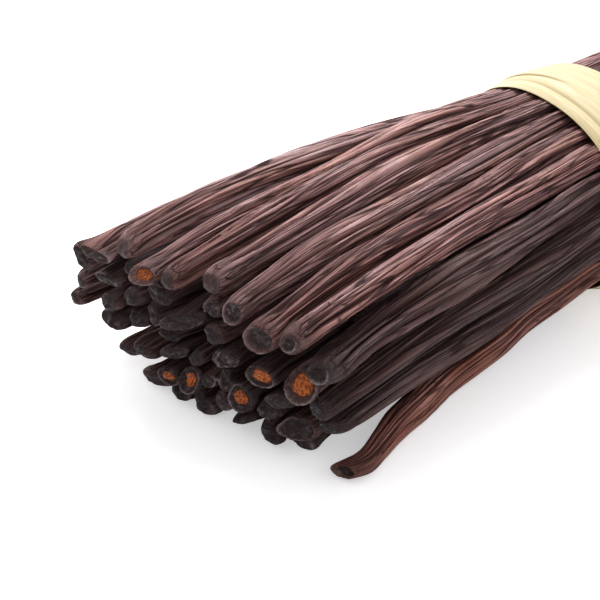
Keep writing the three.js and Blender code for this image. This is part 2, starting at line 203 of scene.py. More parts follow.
# narrow: how much the pod narrows towards its end; flare: how much the tip widens again; pinch: how
# flat the end is; tilt: slope of the end's plane; crumple: how uneven it is; lip, hole: shares of the
# radius where the pale lip runs and where the inside starts; fill: what the inside is.
End = namedtuple("End", "profile narrow flare pinch tilt crumple lip hole fill")
ENDS = {
    "blunt": End(ROUND_PROFILE, 0.16, 0.00, 0.15, 0.30, 0.12, 0.0, 0.0, None),
    "bean": End(ROUND_PROFILE, 0.04, 0.06, 0.45, 0.50, 0.18, 0.0, 0.0, None),
    "fin": End(ROUND_PROFILE, 0.00, 0.00, 0.58, 0.70, 0.16, 0.0, 0.0, None),
    "knob": End(ROUND_PROFILE, 0.30, 0.20, 0.08, 0.45, 0.10, 0.0, 0.0, None),
    "eye": End(EYE_PROFILE, 0.20, 0.02, 0.10, 0.55, 0.12, 0.47, 0.34, "scar"),
    "wide": End(EYE_PROFILE, 0.35, 0.04, 0.12, 0.60, 0.12, 0.47, 0.42, "scar"),
    "disc": End(DISC_PROFILE, 0.20, 0.02, 0.10, 0.50, 0.12, 0.80, 0.64, "scar"),
    "scar": End(SCAR_PROFILE, 0.08, 0.05, 0.40, 0.45, 0.20, 0.88, 0.78, "scar"),
    "collar": End(DISC_PROFILE, 0.26, 0.14, 0.08, 0.45, 0.20, 0.80, 0.64, "scar"),
    "slant": End(LENS_PROFILE, 0.04, 0.04, 0.50, 0.80, 0.20, 0.86, 0.80, "scar"),
    "curl": End(LENS_PROFILE, 0.04, 0.08, 0.56, 0.70, 0.26, 0.86, 0.80, "scar"),
    "wedge": End(SCAR_PROFILE, 0.00, 0.10, 0.35, 0.95, 0.16, 0.88, 0.78, "scar"),
    "lens": End(LENS_PROFILE, 0.04, 0.00, 0.42, 0.80, 0.10, 0.86, 0.80, "scar"),
    "crumple": End(ROUND_PROFILE, 0.06, 0.04, 0.30, 0.35, 0.70, 0.88, 0.60, "scar"),
    "ridged": End(RIDGED_PROFILE, 0.08, 0.06, 0.12, 0.45, 0.20, 0.60, 0.0, None),
    "nozzle": End(OPEN_PROFILE, 0.40, 0.12, 0.06, 0.55, 0.14, 0.87, 0.52, "pulp"),
    "open": End(OPEN_PROFILE, 0.06, 0.06, 0.10, 0.75, 0.14, 0.87, 0.56, "pulp"),
    "pith": End(OPEN_PROFILE, 0.06, 0.06, 0.20, 0.60, 0.26, 0.87, 0.46, "pulp"),
    "torn": End(OPEN_PROFILE, 0.24, 0.12, 0.34, 0.40, 0.40, 0.87, 0.60, "scar"),
}
BURIED = End(ROUND_PROFILE, 0.0, 0.0, 0.0, 0.0, 0.0, 0.0, 0.0, None)  # an end inside the bundle
BURIED_RINGS = 3
CAP_RINGS = 22
LEAST_SHARE = 0.03  # of the radius, at an end's innermost ring
NARROW_LENGTH = 6.5  # this and the next three in pod radii behind the end
FLARE_LENGTH = 1.9
PINCH_LENGTH = 2.8
TILT_LENGTH = 1.8
TILT_SPREAD = (0.6, 1.3)  # the tilt of an end's plane varies between these shares of it
PINCH_ANGLES = (-1.2, 0.6)  # round the pod: an end is flattened across a direction between these
PINCH_WIDENS = 0.35  # how much wider an end gets, for each share that it is flattened by
LOBES = (2, 3, 5)  # waves round an uneven end, and their height for each share of crumple
LOBE_HEIGHT = 0.24
FACING = math.radians(222.0)  # round the pod: the side of an end that stands out furthest
FACING_SPREAD = 0.7
FACE_SHARE = 0.55  # of the radius: inside it an end is all face
FACE_FADE = 0.35
FACE_TABLE = 24  # random heights each way that an end's face rides on, and the sizes of their cells
FINE_CELL = 0.55
COARSE_CELL = 1.5
FINE_HEIGHT = 0.6  # against the coarse ones
FACE_HEIGHT = 0.16
CRUMPLE_HEIGHT = 0.55  # more of it for each share of crumple
CRUMPLE_HIGHLIGHT = 1.6  # painted highlight: how pale the high spots of a crumpled face are painted, above this height
CRUMPLE_HIGHLIGHT_FROM = 0.2
END_PAINTED_SHADE = 0.5  # painted shade: how far the skin near an end is darkened like its face
END_PAINTED_SHADE_LENGTH = 3.0  # in pod radii
LIP_HIGHLIGHT_SIDE = math.radians(255.0)  # the side of an end where its lip is palest, as painted highlight
LIP_SPREAD = 1.2
LIP_PLACE = 0.80  # share of the radius where a lip runs on an end that isn't cut open
LIP_WIDTH = 0.06
LIP_MEAN = 0.45  # how strong a lip is halfway round from its palest side, and how much more it is there
LIP_SIDED = 0.9
LIP_EVEN = 0.9  # and how much of it is even, and how much rides on the coarse heights
LIP_UNEVEN = 0.4
CLOSED_LIP = 0.7  # how much of a lip shows on such an end
HOLE_FADE = 0.08

# Wrinkle bands: folds round the pod, length of a fold, half width of a crease's dark line, which is
# partly painted shade, half width and depth of its groove (all in mm on a pod of the common radius),
# height of the folds themselves, how much they stray sideways, and the share of the skin where the
# creases show, at the ends and at the band.
Band = namedtuple("Band", "folds length width groove depth own sway free_share tied_share")
WRINKLES = (
    Band(6, 75.0, 0.14, 0.40, 0.66, 0.34, 0.34, 0.85, 0.90),
    Band(12, 42.0, 0.10, 0.20, 0.36, 0.09, 0.60, 0.75, 0.85),
    Band(24, 24.0, 0.07, 0.13, 0.18, 0.06, 0.80, 0.40, 0.85),
)
TWIST = 0.0015  # most turns that folds wind round a pod, in each mm
SWAY_ROWS = 4  # how often a fold's quick sway changes over its length, and round the pod
SWAY_COLUMNS = 7
QUICK_SWAY = 0.5
SLOW_SWAY = 0.4
SLOW_SWAY_TURN = 1.1  # its phase over the length of a fold
FADE_ROWS = 2  # how often creases can come or go over the length of a fold
FADE_EDGE = 0.25
CROSSING = 0.25  # creases that run less lengthwise than this don't show, and by this much more they do
CROSSING_EDGE = 0.4
FOLD_EDGE = 0.7  # how far from its lines a fold has its own height, in cells
SHALLOW_CREASE = 0.7  # how dark the crease of the shallowest groove is; deeper grooves get darker creases, as painted shade
TIED_LENGTH = 32.0  # how far from the tie the folds look as they do there
GROOVE_SHADE = 0.9  # painted shade in a groove near an end, for each mm of its depth
FREE_SHADE = 0.15  # how much of that it keeps along the pod
END_GROOVES = 0.5  # how much deeper grooves are near an end, as a share
END_GROOVE_LENGTH = 6.0  # how far they are, in pod radii
RIM_LENGTH = 1.6  # how far behind an end its rim runs, in pod radii
RIM_RELIEF = 0.15  # how much of the wrinkles' height is left on the rim of an end
RIM_SHADE = 0.3  # of its grooves' painted shade
RIM_CREASE = 0.75  # of its creases
FACE_RELIEF = 0.12  # of all wrinkles on the face of an end
FACE_RELIEF_FADE = 0.4
BAND_RELIEF = 0.3  # of the folds' height under the band
BAND_RELIEF_FADE = 8.0

# ---- settings in the sidebar ----


def size_field(name, description, default):
    """A length in metres."""
    return bpy.props.FloatProperty(
        name=name, description=description, default=default, min=0.0, precision=5, unit="LENGTH")


def share_field(name, description, default, high=1.0):
    """A plain number from zero up."""
    return bpy.props.FloatProperty(
        name=name, description=description, default=default, min=0.0, max=high, subtype="FACTOR")


def colour_field(name, description, default):
    """A linear colour."""
    return bpy.props.FloatVectorProperty(
        name=name, description=description, default=default, size=3, min=0.0, max=1.0, subtype="COLOR")


def power_field(name, description, default):
    """The power of a light in watts."""
    return bpy.props.FloatProperty(
        name=name, description=description, default=default, min=0.0, unit="POWER")


class PodSizes(bpy.types.PropertyGroup):
    """Sizes of the pods."""

    wrinkle: share_field("Wrinkle depth", "How deep the wrinkles are, as a share", 1.0, 2.0)
    wander: size_field("Wander", "How far a pod strays to the side along its length", 0.0004)
    gap: size_field("Gap", "Gap that pressed pods keep to each other", 0.00006)
    sides: bpy.props.IntProperty(
        name="Sides", description="Points round a whole pod", default=92, min=24, max=160)
    rings: bpy.props.IntProperty(
        name="Rings", description="Rings along a whole pod between its ends", default=120, min=24, max=400)
    stub_sides: bpy.props.IntProperty(
        name="Stub sides", description="Points round the end of an inner pod", default=56, min=16, max=96)
    stub_rings: bpy.props.IntProperty(
        name="Stub rings", description="Rings along the end of an inner pod", default=22, min=6, max=60)
    stub_length: size_field("Stub length", "How far an inner pod's end runs into the bundle", 0.042)
    core_inset: size_field("Core inset", "From the bundle's outline to the core", 0.0054)
    core_setback: size_field("Core setback", "From the pods' ends to the core's end", 0.015)


class PodColours(bpy.types.PropertyGroup):
    """Colours of the pods."""

    dark: colour_field("Dark skin", "The darkest cured skin", (0.112, 0.066, 0.060))
    warm: colour_field("Warm skin", "Reddish cured skin", (0.290, 0.128, 0.112))
    # painted shade: creases and grooves are darkened towards this colour
    crease: colour_field("Crease", "The bottom of a crease", (0.020, 0.006, 0.005))
    stray_dark: colour_field("Lone pod, dark", "Dark skin of the lone pod", (0.080, 0.032, 0.024))
    stray_warm: colour_field("Lone pod, warm", "Warm skin of the lone pod", (0.230, 0.082, 0.055))
    # painted shade in the lone pod's creases
    stray_crease: colour_field("Lone pod, crease", "Creases of the lone pod", (0.050, 0.020, 0.016))
    # the lip is partly painted highlight on the rims of the ends
    lip: colour_field("Lip", "The dry pale lip of a cut end", (0.34, 0.27, 0.27))
    # the scar is kept near black as painted shade on the end faces
    scar: colour_field("Scar", "The sunken face of an end", (0.016, 0.006, 0.005))
    pulp: colour_field("Pulp", "The fibrous pulp in an open end", (0.60, 0.155, 0.036))
    pulp_shade: colour_field("Pulp shade", "The darker parts of the pulp", (0.22, 0.050, 0.014))


class RaffiaSizes(bpy.types.PropertyGroup):
    """Sizes and colours of the raffia."""

    width: size_field("Strip width", "Width of a strip lying flat", 0.0066)
    thickness: size_field("Strip thickness", "Thickness of a strip", 0.00035)
    lift: size_field("Lift", "From the pods to the innermost strip", 0.00005)
    layer: size_field("Layer", "How much further out each next layer lies", 0.00042)
    tail: size_field("Tail length", "Length of the two tails from the knot", 0.018)
    pale: colour_field("Pale straw", "The light colour of the strips", (0.57, 0.49, 0.30))
    deep: colour_field("Deep straw", "The darker streaks of the strips", (0.49, 0.37, 0.155))


class StudioSettings(bpy.types.PropertyGroup):
    """Camera, floor and lights."""

    azimuth: bpy.props.FloatProperty(
        name="Azimuth", description="Camera's turn round the bundle", default=math.radians(57.0),
        unit="ROTATION")
    elevation: bpy.props.FloatProperty(
        name="Elevation", description="Camera's angle above the floor", default=math.radians(37.0),
        unit="ROTATION")
    place: bpy.props.FloatVectorProperty(
        name="Place", description="Where the camera stands", default=(0.1622, -0.16294, 0.16227),
        size=3, unit="LENGTH")
    lens: bpy.props.FloatProperty(
        name="Lens", description="Focal length in millimetres on a 36 mm sensor", default=84.0, min=1.0)
    floor: colour_field("Floor", "Colour of the floor", (0.93, 0.925, 0.93))
    key: power_field("Key light", "Large soft light above and behind", 8.4)
    side: power_field("Side light", "Soft low light from the left behind", 2.3)
    fill: power_field("Fill light", "Weak soft light from the front", 0.15)
    right: power_field("Right light", "Weak soft light from the right behind", 1.0)
    sky: share_field("Sky", "Brightness of the plain surroundings overhead", 1.0, 3.0)


class BundleSettings(bpy.types.PropertyGroup):
    """All settings of the bundle."""

    sizes: bpy.props.PointerProperty(type=PodSizes)
    colours: bpy.props.PointerProperty(type=PodColours)
    raffia: bpy.props.PointerProperty(type=RaffiaSizes)
    studio: bpy.props.PointerProperty(type=StudioSettings)


# ---- numbers ----


def random_source(seed):
    """Plain linear congruential draws from 0 to 1, the same as the frame's."""
    state = seed
    while True:
        state = (state * 1664525 + 1013904223) % 4294967296
        yield state / 4294967296


def smooth(share):
    """0 to 1 with level ends: 3 s squared less 2 s cubed, held outside."""
    s = np.clip(share, 0.0, 1.0)
    return s * s * (3.0 - 2.0 * s)


def at_least(low, share):
    """A share that runs from low up to 1 instead of from 0."""
    return low + (1.0 - low) * share


def bell(distance, half_width):
    """1 in the middle, falling smoothly to nothing on both sides."""
    return np.exp(-((distance / half_width) ** 2))


def hermite(knots, values, at):
    """A smooth curve through values at knots: on each stretch the cubic with the slopes that join
    each knot's two neighbours."""
    knots = np.asarray(knots, float)
    values = np.asarray(values, float)
    before = np.clip(np.arange(len(knots)) - 1, 0, None)
    after = np.clip(np.arange(len(knots)) + 1, None, len(knots) - 1)
    slopes = (values[after] - values[before]) / (knots[after] - knots[before])[:, None]
    i = np.clip(np.searchsorted(knots, at, side="right") - 1, 0, len(knots) - 2)
    step = knots[i + 1] - knots[i]
    s = np.clip((at - knots[i]) / step, 0.0, 1.0)[..., None]
    step = step[..., None]
    rise = (2 * s**3 - 3 * s**2 + 1) * values[i] + (3 * s**2 - 2 * s**3) * values[i + 1]
    return rise + (s**3 - 2 * s**2 + s) * step * slopes[i] + (s**3 - s**2) * step * slopes[i + 1]


def along_path(points, count):
    """count points at even distances on the smooth curve through the given ones."""
    points = np.asarray(points, float)
    knots = np.concatenate([[0.0], np.cumsum(np.linalg.norm(np.diff(points, axis=0), axis=1))])
    fine = hermite(knots, points, np.linspace(0.0, knots[-1], 40 * len(points)))
    walked = np.concatenate([[0.0], np.cumsum(np.linalg.norm(np.diff(fine, axis=0), axis=1))])
    even = np.linspace(0.0, walked[-1], count)
    return np.stack([np.interp(even, walked, fine[:, k]) for k in range(points.shape[1])], axis=-1)


def lattice(table, down, across):
    """Smooth heights from a table of random numbers: each point blends the four entries round it
    by the smooth step. The table wraps round across, and is held at its ends down."""
    rows, columns = table.shape
    down, across = np.broadcast_arrays(np.clip(down, 0.0, rows - 1.001), across)
    row = np.floor(down).astype(int)
    column = np.floor(across).astype(int)
    v = smooth(down - row)
    u = smooth(across - column)
    near = table[row, column % columns] * (1 - u) + table[row, (column + 1) % columns] * u
    far = table[row + 1, column % columns] * (1 - u) + table[row + 1, (column + 1) % columns] * u
    return near * (1 - v) + far * v


# ---- the bundle's outline and the pods' routes ----


def opening(y, power):
    """How far the fan has opened: 0 under the band, 1 at either end, rounded where it starts."""
    run = np.abs(np.where(y < TIE_Y, FRONT_Y, BACK_Y) - TIE_Y) - WAIST_HALF
    share = np.maximum(np.abs(y - TIE_Y) - WAIST_HALF, 0.0) / run
    rounded = np.hypot(share, WAIST_ROUNDING) - WAIST_ROUNDING
    full = math.hypot(1.0, WAIST_ROUNDING) - WAIST_ROUNDING
    return (rounded / full) ** power


def section_at(y):
    """Middle height, half width and half height of the outline: the tie's blended to an end's. The
    width opens early and the height late."""
    y = np.asarray(y, float)
    powers = (WIDTH_POWER, HEIGHT_POWER, HEIGHT_POWER)
    half_width, half_height, lift = (
        tie + (np.where(y < TIE_Y, front, back) - tie) * opening(y, power)
        for tie, front, back, power in zip(TIE, FRONT, BACK, powers))
    return lift + half_height, half_width, half_height


def outline_radius(angle):
    """From the centre to a rounded box of half size 1: a superellipse in polar form."""
    c = np.abs(np.cos(angle)) ** OUTLINE_POWER
    s = np.abs(np.sin(angle)) ** OUTLINE_POWER
    return (c + s) ** (-1.0 / OUTLINE_POWER)


def outline_point(y, angle, outward):
    """Points of the outline at y, moved outward."""
    z, half_width, half_height = section_at(y)
    r = outline_radius(angle)
    return np.stack([
        (half_width + outward) * r * np.cos(angle),
        y + 0.0 * angle,
        z + (half_height + outward) * r * np.sin(angle),
    ], axis=-1)


def shares_of(x, z):
    """A place in the front section as shares of the half sizes that pod centres can take."""
    middle, half_width, half_height = section_at(FRONT_Y)
    return x / (half_width - POD_RADIUS), (z - middle) / (half_height - POD_RADIUS)


class Layout:
    """Every pod's route and size, as arrays with one row a pod. Those of the ends' places and the
    radii have one more row, the lone pod's."""

    def __init__(self):
        self.pods = [*OUTER_PODS, *INNER_PODS]
        draw = random_source(BACK_SEED)
        self.front = np.array([shares_of(pod.x, pod.z) for pod in self.pods])
        self.tie = self.front * INNER_DRAW
        turned = np.radians([pod.tie for pod in OUTER_PODS])
        ring = outline_radius(turned)
        self.tie[:len(OUTER_PODS)] = np.stack([ring * np.cos(turned), ring * np.sin(turned)], axis=-1)
        self.front_end = np.array([FRONT_Y + FACE_SKEW * pod.x - pod.reach for pod in self.pods]
                                  + [STRAY_ROUTE[0][1]])
        self.back = np.concatenate([self.tie[:len(OUTER_PODS)], self.front[len(OUTER_PODS):]])
        back_x = self.back[:, 0] * (BACK.half_width - POD_RADIUS)
        uneven = np.array([(next(draw) - 0.5) * 2 * BACK_SPREAD for _ in self.pods])
        self.back_end = np.append(BACK_Y + FACE_SKEW * back_x + uneven, STRAY_ROUTE[-1][1])
        self.radius = np.array([pod.radius for pod in self.pods] + [STRAY_RADIUS])
        self.count = len(self.pods)
        self.stray = self.count
        waves = np.random.default_rng(WANDER_SEED)
        self.wave_length = waves.uniform(*WANDER_LENGTHS, (2, self.count))
        self.wave_start = waves.uniform(0.0, 2 * np.pi, (2, self.count))
        self.wander = bpy.context.scene.pod_bundle.sizes.wander / MM

    def centres(self, y):
        """x and z of every pod's middle at the places y along the bundle: shares that run in a
        straight line from the tie to either end, plus a slow wave that dies out at the tie and
        starts from nothing at the front end. A thin outer pod moves out at the tie to meet the band."""
        y = np.asarray(y, float)
        z, half_width, half_height = section_at(y)
        in_front = y < TIE_Y
        toward = np.minimum((y - TIE_Y) / (np.where(in_front, FRONT_Y, BACK_Y) - TIE_Y), 1.0)[None, :]
        end = np.where(in_front[None, :, None], self.front[:, None], self.back[:, None])
        shares = self.tie[:, None] + (end - self.tie[:, None]) * toward[..., None]
        outer = (np.arange(self.count) < len(OUTER_PODS))[:, None]
        thinner = np.maximum(POD_RADIUS - self.radius[:-1], 0.0)[:, None]
        inset = POD_RADIUS - outer * thinner * (1.0 - toward)
        path = np.stack([
            shares[..., 0] * (half_width - inset),
            z + shares[..., 1] * (half_height - inset),
        ], axis=-1)
        window = smooth(np.abs(y - TIE_Y) / WANDER_START)[None, :]
        for axis in (0, 1):
            turns = 2 * np.pi / self.wave_length[axis][:, None]
            start = self.wave_start[axis][:, None]
            at_front = np.sin(turns * self.front_end[:-1, None] + start)
            wave = np.sin(turns * y[None, :] + start) - np.where(in_front, at_front, 0.0)
            path[..., axis] += self.wander * window * wave
        stray = hermite([p[1] for p in STRAY_ROUTE], [(p[0], p[2]) for p in STRAY_ROUTE], y)
        return np.concatenate([path, stray[None]], axis=0)

    def radii(self, y):
        """Every pod's radius at y: the band squeezes the thick ones to the common radius, and the
        lone pod swells where it climbs the bundle's side."""
        squeezed = np.minimum(self.radius, POD_RADIUS)[:, None]
        spread = opening(np.asarray(y, float), WIDTH_POWER)[None, :]
        radii = squeezed + (self.radius[:, None] - squeezed) * spread
        radii[self.stray] *= 1.0 + STRAY_SWELL * bell(y - STRAY_SWELL_Y, STRAY_SWELL_LENGTH)
        return radii


# ---- the surface of a pod ----

SQUEEZE_POWER = 12.0  # how sharply a pod's section turns where it presses on a neighbour
LEAST_ROOM = 0.9
END_ROOM = 2.0  # a neighbour stops pressing this far past its own end
FREED_ROOM = 4.0  # how much more room it leaves there
OUTWARD_BIAS = 0.55  # points crowd towards the side that shows
END_CROWDING = 0.09  # rings crowd towards the ends
UNEVEN_WAVES = ((0.06, 15.0), (0.06, 6.3))  # of a pod's thickness: share, and length of one radian
MOST_OVAL = 0.10  # how far from round a pod is at most, as a share
ROLL_LENGTH = 70.0  # how far along a pod its long side turns by a radian
UNTIED_LENGTH = 25.0  # how far from the tie a pod is as uneven and as oval as it gets
POD_GRAIN_STEP = 19.0  # from one pod's grain to the next, so that no two look alike


def pressed_radius(layout, index, y, angle, own):
    """How far a pod reaches at each ring and angle: its own radius softly held by a plane halfway
    to each neighbour and by the floor. A plane at distance t limits the reach to t over the cosine
    of the angle off its direction, and the limits join by a high power mean."""
    gap = bpy.context.scene.pod_bundle.sizes.gap / MM
    centres = layout.centres(y)
    radii = layout.radii(y)
    held = own ** -SQUEEZE_POWER
    middle = centres[index]
    for other in range(len(centres)):
        if other == index:
            continue
        apart = centres[other] - middle
        distance = np.hypot(apart[:, 0], apart[:, 1])
        past = np.maximum(layout.front_end[other] - y, y - layout.back_end[other])
        freed = FREED_ROOM * smooth(past / END_ROOM)
        room = np.maximum((distance + radii[index] - radii[other]) / 2 - gap, LEAST_ROOM) + freed
        lean = np.cos(angle[None, :] - np.arctan2(apart[:, 1], apart[:, 0])[:, None])
        held = held + (np.maximum(lean, 0.0) / room[:, None]) ** SQUEEZE_POWER
    down = np.maximum(-np.sin(angle), 0.0)[None, :]
    held = held + (down / np.maximum(middle[:, 1], LEAST_ROOM)[:, None]) ** SQUEEZE_POWER
    return middle, held ** (-1.0 / SQUEEZE_POWER)


def long_folds(random, down, across, columns):
    """Long cells round scattered points, one in each box of a lattice that wraps round across.
    Returns how much further the second nearest point is than the nearest, which is zero on the
    lines between cells, how far those lines run lengthwise, and the nearest point's own number."""
    rows = int(down.max()) + 4
    spots = random.uniform(0.0, 1.0, (3, rows, columns))
    row = np.floor(down).astype(int)
    column = np.floor(across).astype(int)
    first = np.full((4, *down.shape), np.inf)
    second = np.full((4, *down.shape), np.inf)
    for i, j in np.ndindex(3, 3):
        spot_down, spot_across, number = spots[:, row + i, (column + j - 1) % columns]
        off_down = row + i - 1 + spot_down - down
        off_across = column + j - 1 + spot_across - across
        found = np.stack([np.hypot(off_down, off_across), off_down, off_across, number])
        nearer = found[0] < first[0]
        further = np.where(nearer, first, found)
        second = np.where(further[0] < second[0], further, second)
        first = np.where(nearer, found, first)
    apart = second[1:3] - first[1:3]
    lengthwise = np.abs(apart[1]) / np.hypot(apart[0], apart[1])
    return second[0] - first[0], lengthwise, first[3]


def random_field(random, low, down, turn, columns):
    """Smooth random heights from low to 1, with as many places round the pod as columns."""
    table = random.uniform(low, 1.0, (int(down.max()) + 3, columns))
    return lattice(table, down, turn * columns)


def wrinkles(random, y, angle, radius_share):
    """How deep the skin's grooves are, how high its folds rise, where its sharp creases run, and the
    tint of its folds. Each band is a set of long cells that sway sideways. The distance to the line
    between two cells is half of their distances' difference. The skin sinks in a bell curve along
    the line, and every fold rises from its lines to a height of its own. Creases fade in and out
    along the pod, and don't show where they would run across it. A crease is darker where its
    groove is deeper, as painted shade."""
    shape = (len(y), len(angle))
    groove, fold, crease, tint = (np.zeros(shape) for _ in range(4))
    turn = (angle / (2 * np.pi) + 1.0)[None, :] + random.uniform(-TWIST, TWIST) * (y - TIE_Y)[:, None]
    tied = bell(y - TIE_Y, TIED_LENGTH)[:, None]
    for band in WRINKLES:
        down = np.broadcast_to(((y - y.min()) / band.length)[:, None], shape)
        quick = random_field(random, -1.0, down * SWAY_ROWS, turn, SWAY_COLUMNS)
        fade = random_field(random, 0.0, down * FADE_ROWS, turn, band.folds)
        slow = np.sin(down * SLOW_SWAY_TURN + random.uniform(0.0, 6.0))
        across = turn * band.folds + band.sway * (QUICK_SWAY * quick + SLOW_SWAY * slow)
        edge, lengthwise, own = long_folds(random, down, across, band.folds)
        shown = band.free_share + (band.tied_share - band.free_share) * tied
        fade = smooth((fade - (1.0 - shown)) / FADE_EDGE + 0.5)
        fade *= smooth((lengthwise - CROSSING) / CROSSING_EDGE)
        away = edge / 2 * (2 * np.pi * POD_RADIUS / band.folds)
        line = np.exp(-((away / band.width) ** 3)) * min(1.0, SHALLOW_CREASE + band.depth)
        groove += band.depth * fade * bell(away, band.groove)
        fold += band.own * (own - 0.5) * smooth(edge / FOLD_EDGE)
        crease = np.maximum(crease, line * fade)
        tint += own / len(WRINKLES)
    return groove * radius_share, fold * radius_share, crease, tint


def end_rings(end):
    """How far out and how far from the axis each ring of an end lies, from the shoulder inwards."""
    rings = along_path(end.profile, (BURIED_RINGS if end is BURIED else CAP_RINGS) + 1)[1:]
    return rings[:, 0], np.clip(rings[:, 1], LEAST_SHARE, 1.0)


def ring_places(ends, span, rings, radius):
    """From front to back: every ring's place along the pod, its share of the pod's reach, and the
    end that it is part of, as -1 for the front, 1 for the back and 0 for neither."""
    (front_out, front_share), (back_out, back_share) = (end_rings(end) for end in ends)
    front = span[0] - front_out * radius
    back = span[1] + back_out * radius
    t = np.linspace(0.0, 1.0, rings)[1:-1]
    eased = t - END_CROWDING * np.sin(2 * np.pi * t)
    body = front[0] + (back[0] - front[0]) * eased
    y = np.concatenate([front[::-1], body, back])
    share = np.concatenate([front_share[::-1], np.ones(len(body)), back_share])
    return y, share, np.repeat([-1, 0, 1], [len(front), len(body), len(back)])


def end_effects(end, random, behind, angle):
    """What an end does to the pod's own section, as a share of it: it narrows towards the end, flares
    at the tip, flattens across a random direction and takes a few uneven lobes. behind is the
    distance from the end in pod radii."""
    narrow = end.narrow * (1.0 - smooth(behind / NARROW_LENGTH))
    flare = end.flare * bell(behind, FLARE_LENGTH)
    near = smooth(1.0 - behind / PINCH_LENGTH)[:, None]
    flat = end.pinch * near
    turned = angle[None, :] - random.uniform(*PINCH_ANGLES)
    wide = 1.0 + PINCH_WIDENS * flat
    thin = 1.0 - flat
    oval = ((np.cos(turned) / wide) ** 2 + (np.sin(turned) / thin) ** 2) ** -0.5
    lobes = sum(np.cos(turns * turned + random.uniform(0.0, 6.0)) / turns for turns in LOBES)
    return oval * (1.0 + flare - narrow)[:, None] * (1.0 + LOBE_HEIGHT * end.crumple * near * lobes)


def free_reach(layout, index, ends, behind, random, y, angle):
    """How far a pod would reach from its axis with nothing pressing on it: its radius, a little
    uneven and oval away from the tie, and shaped by both ends."""
    uneven = sum(share * np.sin(y / length + random.uniform(0, 6)) for share, length in UNEVEN_WAVES)
    untied = smooth(np.abs(y - TIE_Y) / UNTIED_LENGTH)
    roll = random.uniform(0.0, 6.0) + y / ROLL_LENGTH
    flat = random.uniform(0.0, MOST_OVAL) * untied[:, None]
    own = (layout.radii(y)[index] * (1.0 + uneven * untied))[:, None]
    own = own * (1.0 + flat * np.cos(2 * (angle[None, :] - roll[:, None])))
    for end, distance in zip(ends, behind):
        own = own * end_effects(end, random, distance, angle)
    return own


def wrinkled(random, y, angle, share, nearest, radius):
    """How far wrinkles carry the skin outwards, and their crease and tint marks. The crease mark holds
    the creases' dark lines, and painted shade in the grooves by their depth. Wrinkles are shallow on
    the rim of an end and nearly gone on its face, grooves are deeper near an end and carry more
    painted shade there, and folds are low under the band. nearest is the distance from the nearer
    end in pod radii."""
    depth = bpy.context.scene.pod_bundle.sizes.wrinkle * radius / POD_RADIUS
    groove, fold, crease, tint = wrinkles(random, y, angle, depth)
    inward = smooth(nearest / RIM_LENGTH)
    near = bell(nearest, END_GROOVE_LENGTH)
    held = at_least(FACE_RELIEF, smooth((share - FACE_SHARE) / FACE_RELIEF_FADE))[:, None]
    deep = held * (at_least(RIM_RELIEF, inward) * (1.0 + END_GROOVES * near))[:, None]
    free = smooth((np.abs(y - TIE_Y) - WAIST_HALF) / BAND_RELIEF_FADE)
    high = deep * at_least(BAND_RELIEF, free)[:, None]
    # painted shade in the grooves, strongest near an end
    shade = GROOVE_SHADE * at_least(FREE_SHADE, near) * at_least(RIM_SHADE, inward)
    dark = np.maximum(crease * at_least(RIM_CREASE, inward)[:, None], groove * shade[:, None])
    return fold * high - groove * deep, dark * held, tint


def shape_end(end, behind, mine, random, angle, share, reach, marks):
    """How far the points of one end move outwards along the pod: its plane leans, and its face rides
    on a random field. Adds the end's face, lip, scar and pulp to the marks: the face mark also takes
    painted shade on the skin near the end, the lip is partly painted highlight, brightest on one side,
    and the high spots of a crumpled face get the lip's colour as painted highlight. mine is 1 on the
    rings of the end itself."""
    toward = FACING + random.uniform(-FACING_SPREAD, FACING_SPREAD)
    slope = end.tilt * random.uniform(*TILT_SPREAD)
    lean = slope * reach * np.cos(angle - toward)[None, :] * smooth(1.0 - behind / TILT_LENGTH)[:, None]
    face = mine * (1.0 - smooth((share - FACE_SHARE) / FACE_FADE))[:, None]
    table = random.uniform(-1.0, 1.0, (FACE_TABLE, FACE_TABLE))
    up, side = reach * np.sin(angle)[None, :], reach * np.cos(angle)[None, :]
    fine, coarse = (lattice(table, up / cell + FACE_TABLE / 2, side / cell + FACE_TABLE / 2)
                    for cell in (FINE_CELL, COARSE_CELL))
    rough = (FACE_HEIGHT + CRUMPLE_HEIGHT * end.crumple) * (FINE_HEIGHT * fine + coarse)
    # the lip is partly painted highlight, brightest on one side
    highlight_side = LIP_HIGHLIGHT_SIDE - random.uniform(-LIP_SPREAD, LIP_SPREAD)
    lip = mine * bell(share - (end.lip or LIP_PLACE), LIP_WIDTH)[:, None]
    round_share = smooth(LIP_MEAN + LIP_SIDED * np.cos(angle - highlight_side))[None, :]
    lip = lip * round_share * (LIP_EVEN + LIP_UNEVEN * coarse)
    # painted highlight on the high spots of a crumpled face, in the lip's colour
    highlit_spots = face * end.crumple * np.maximum(fine - CRUMPLE_HIGHLIGHT_FROM, 0.0) * CRUMPLE_HIGHLIGHT
    # painted shade on the skin near an end, carried by the face mark
    painted_end_shade = END_PAINTED_SHADE * (1.0 - smooth(behind / END_PAINTED_SHADE_LENGTH))[:, None]
    found = [("face", face), ("face", painted_end_shade), ("lip", lip * (1.0 if end.fill else CLOSED_LIP)),
             ("lip", highlit_spots)]
    if end.fill:
        found.append((end.fill, mine * smooth((end.hole + LIP_WIDTH - share) / HOLE_FADE)[:, None]))
    for mark, values in found:
        marks[mark] = np.maximum(marks[mark], values)
    return lean + face * rough


# the face mark also carries painted shade near each end, and the lip is partly painted highlight
END_MARKS = ("lip", "scar", "pulp", "face")
Surface = namedtuple("Surface", "points marks grain")


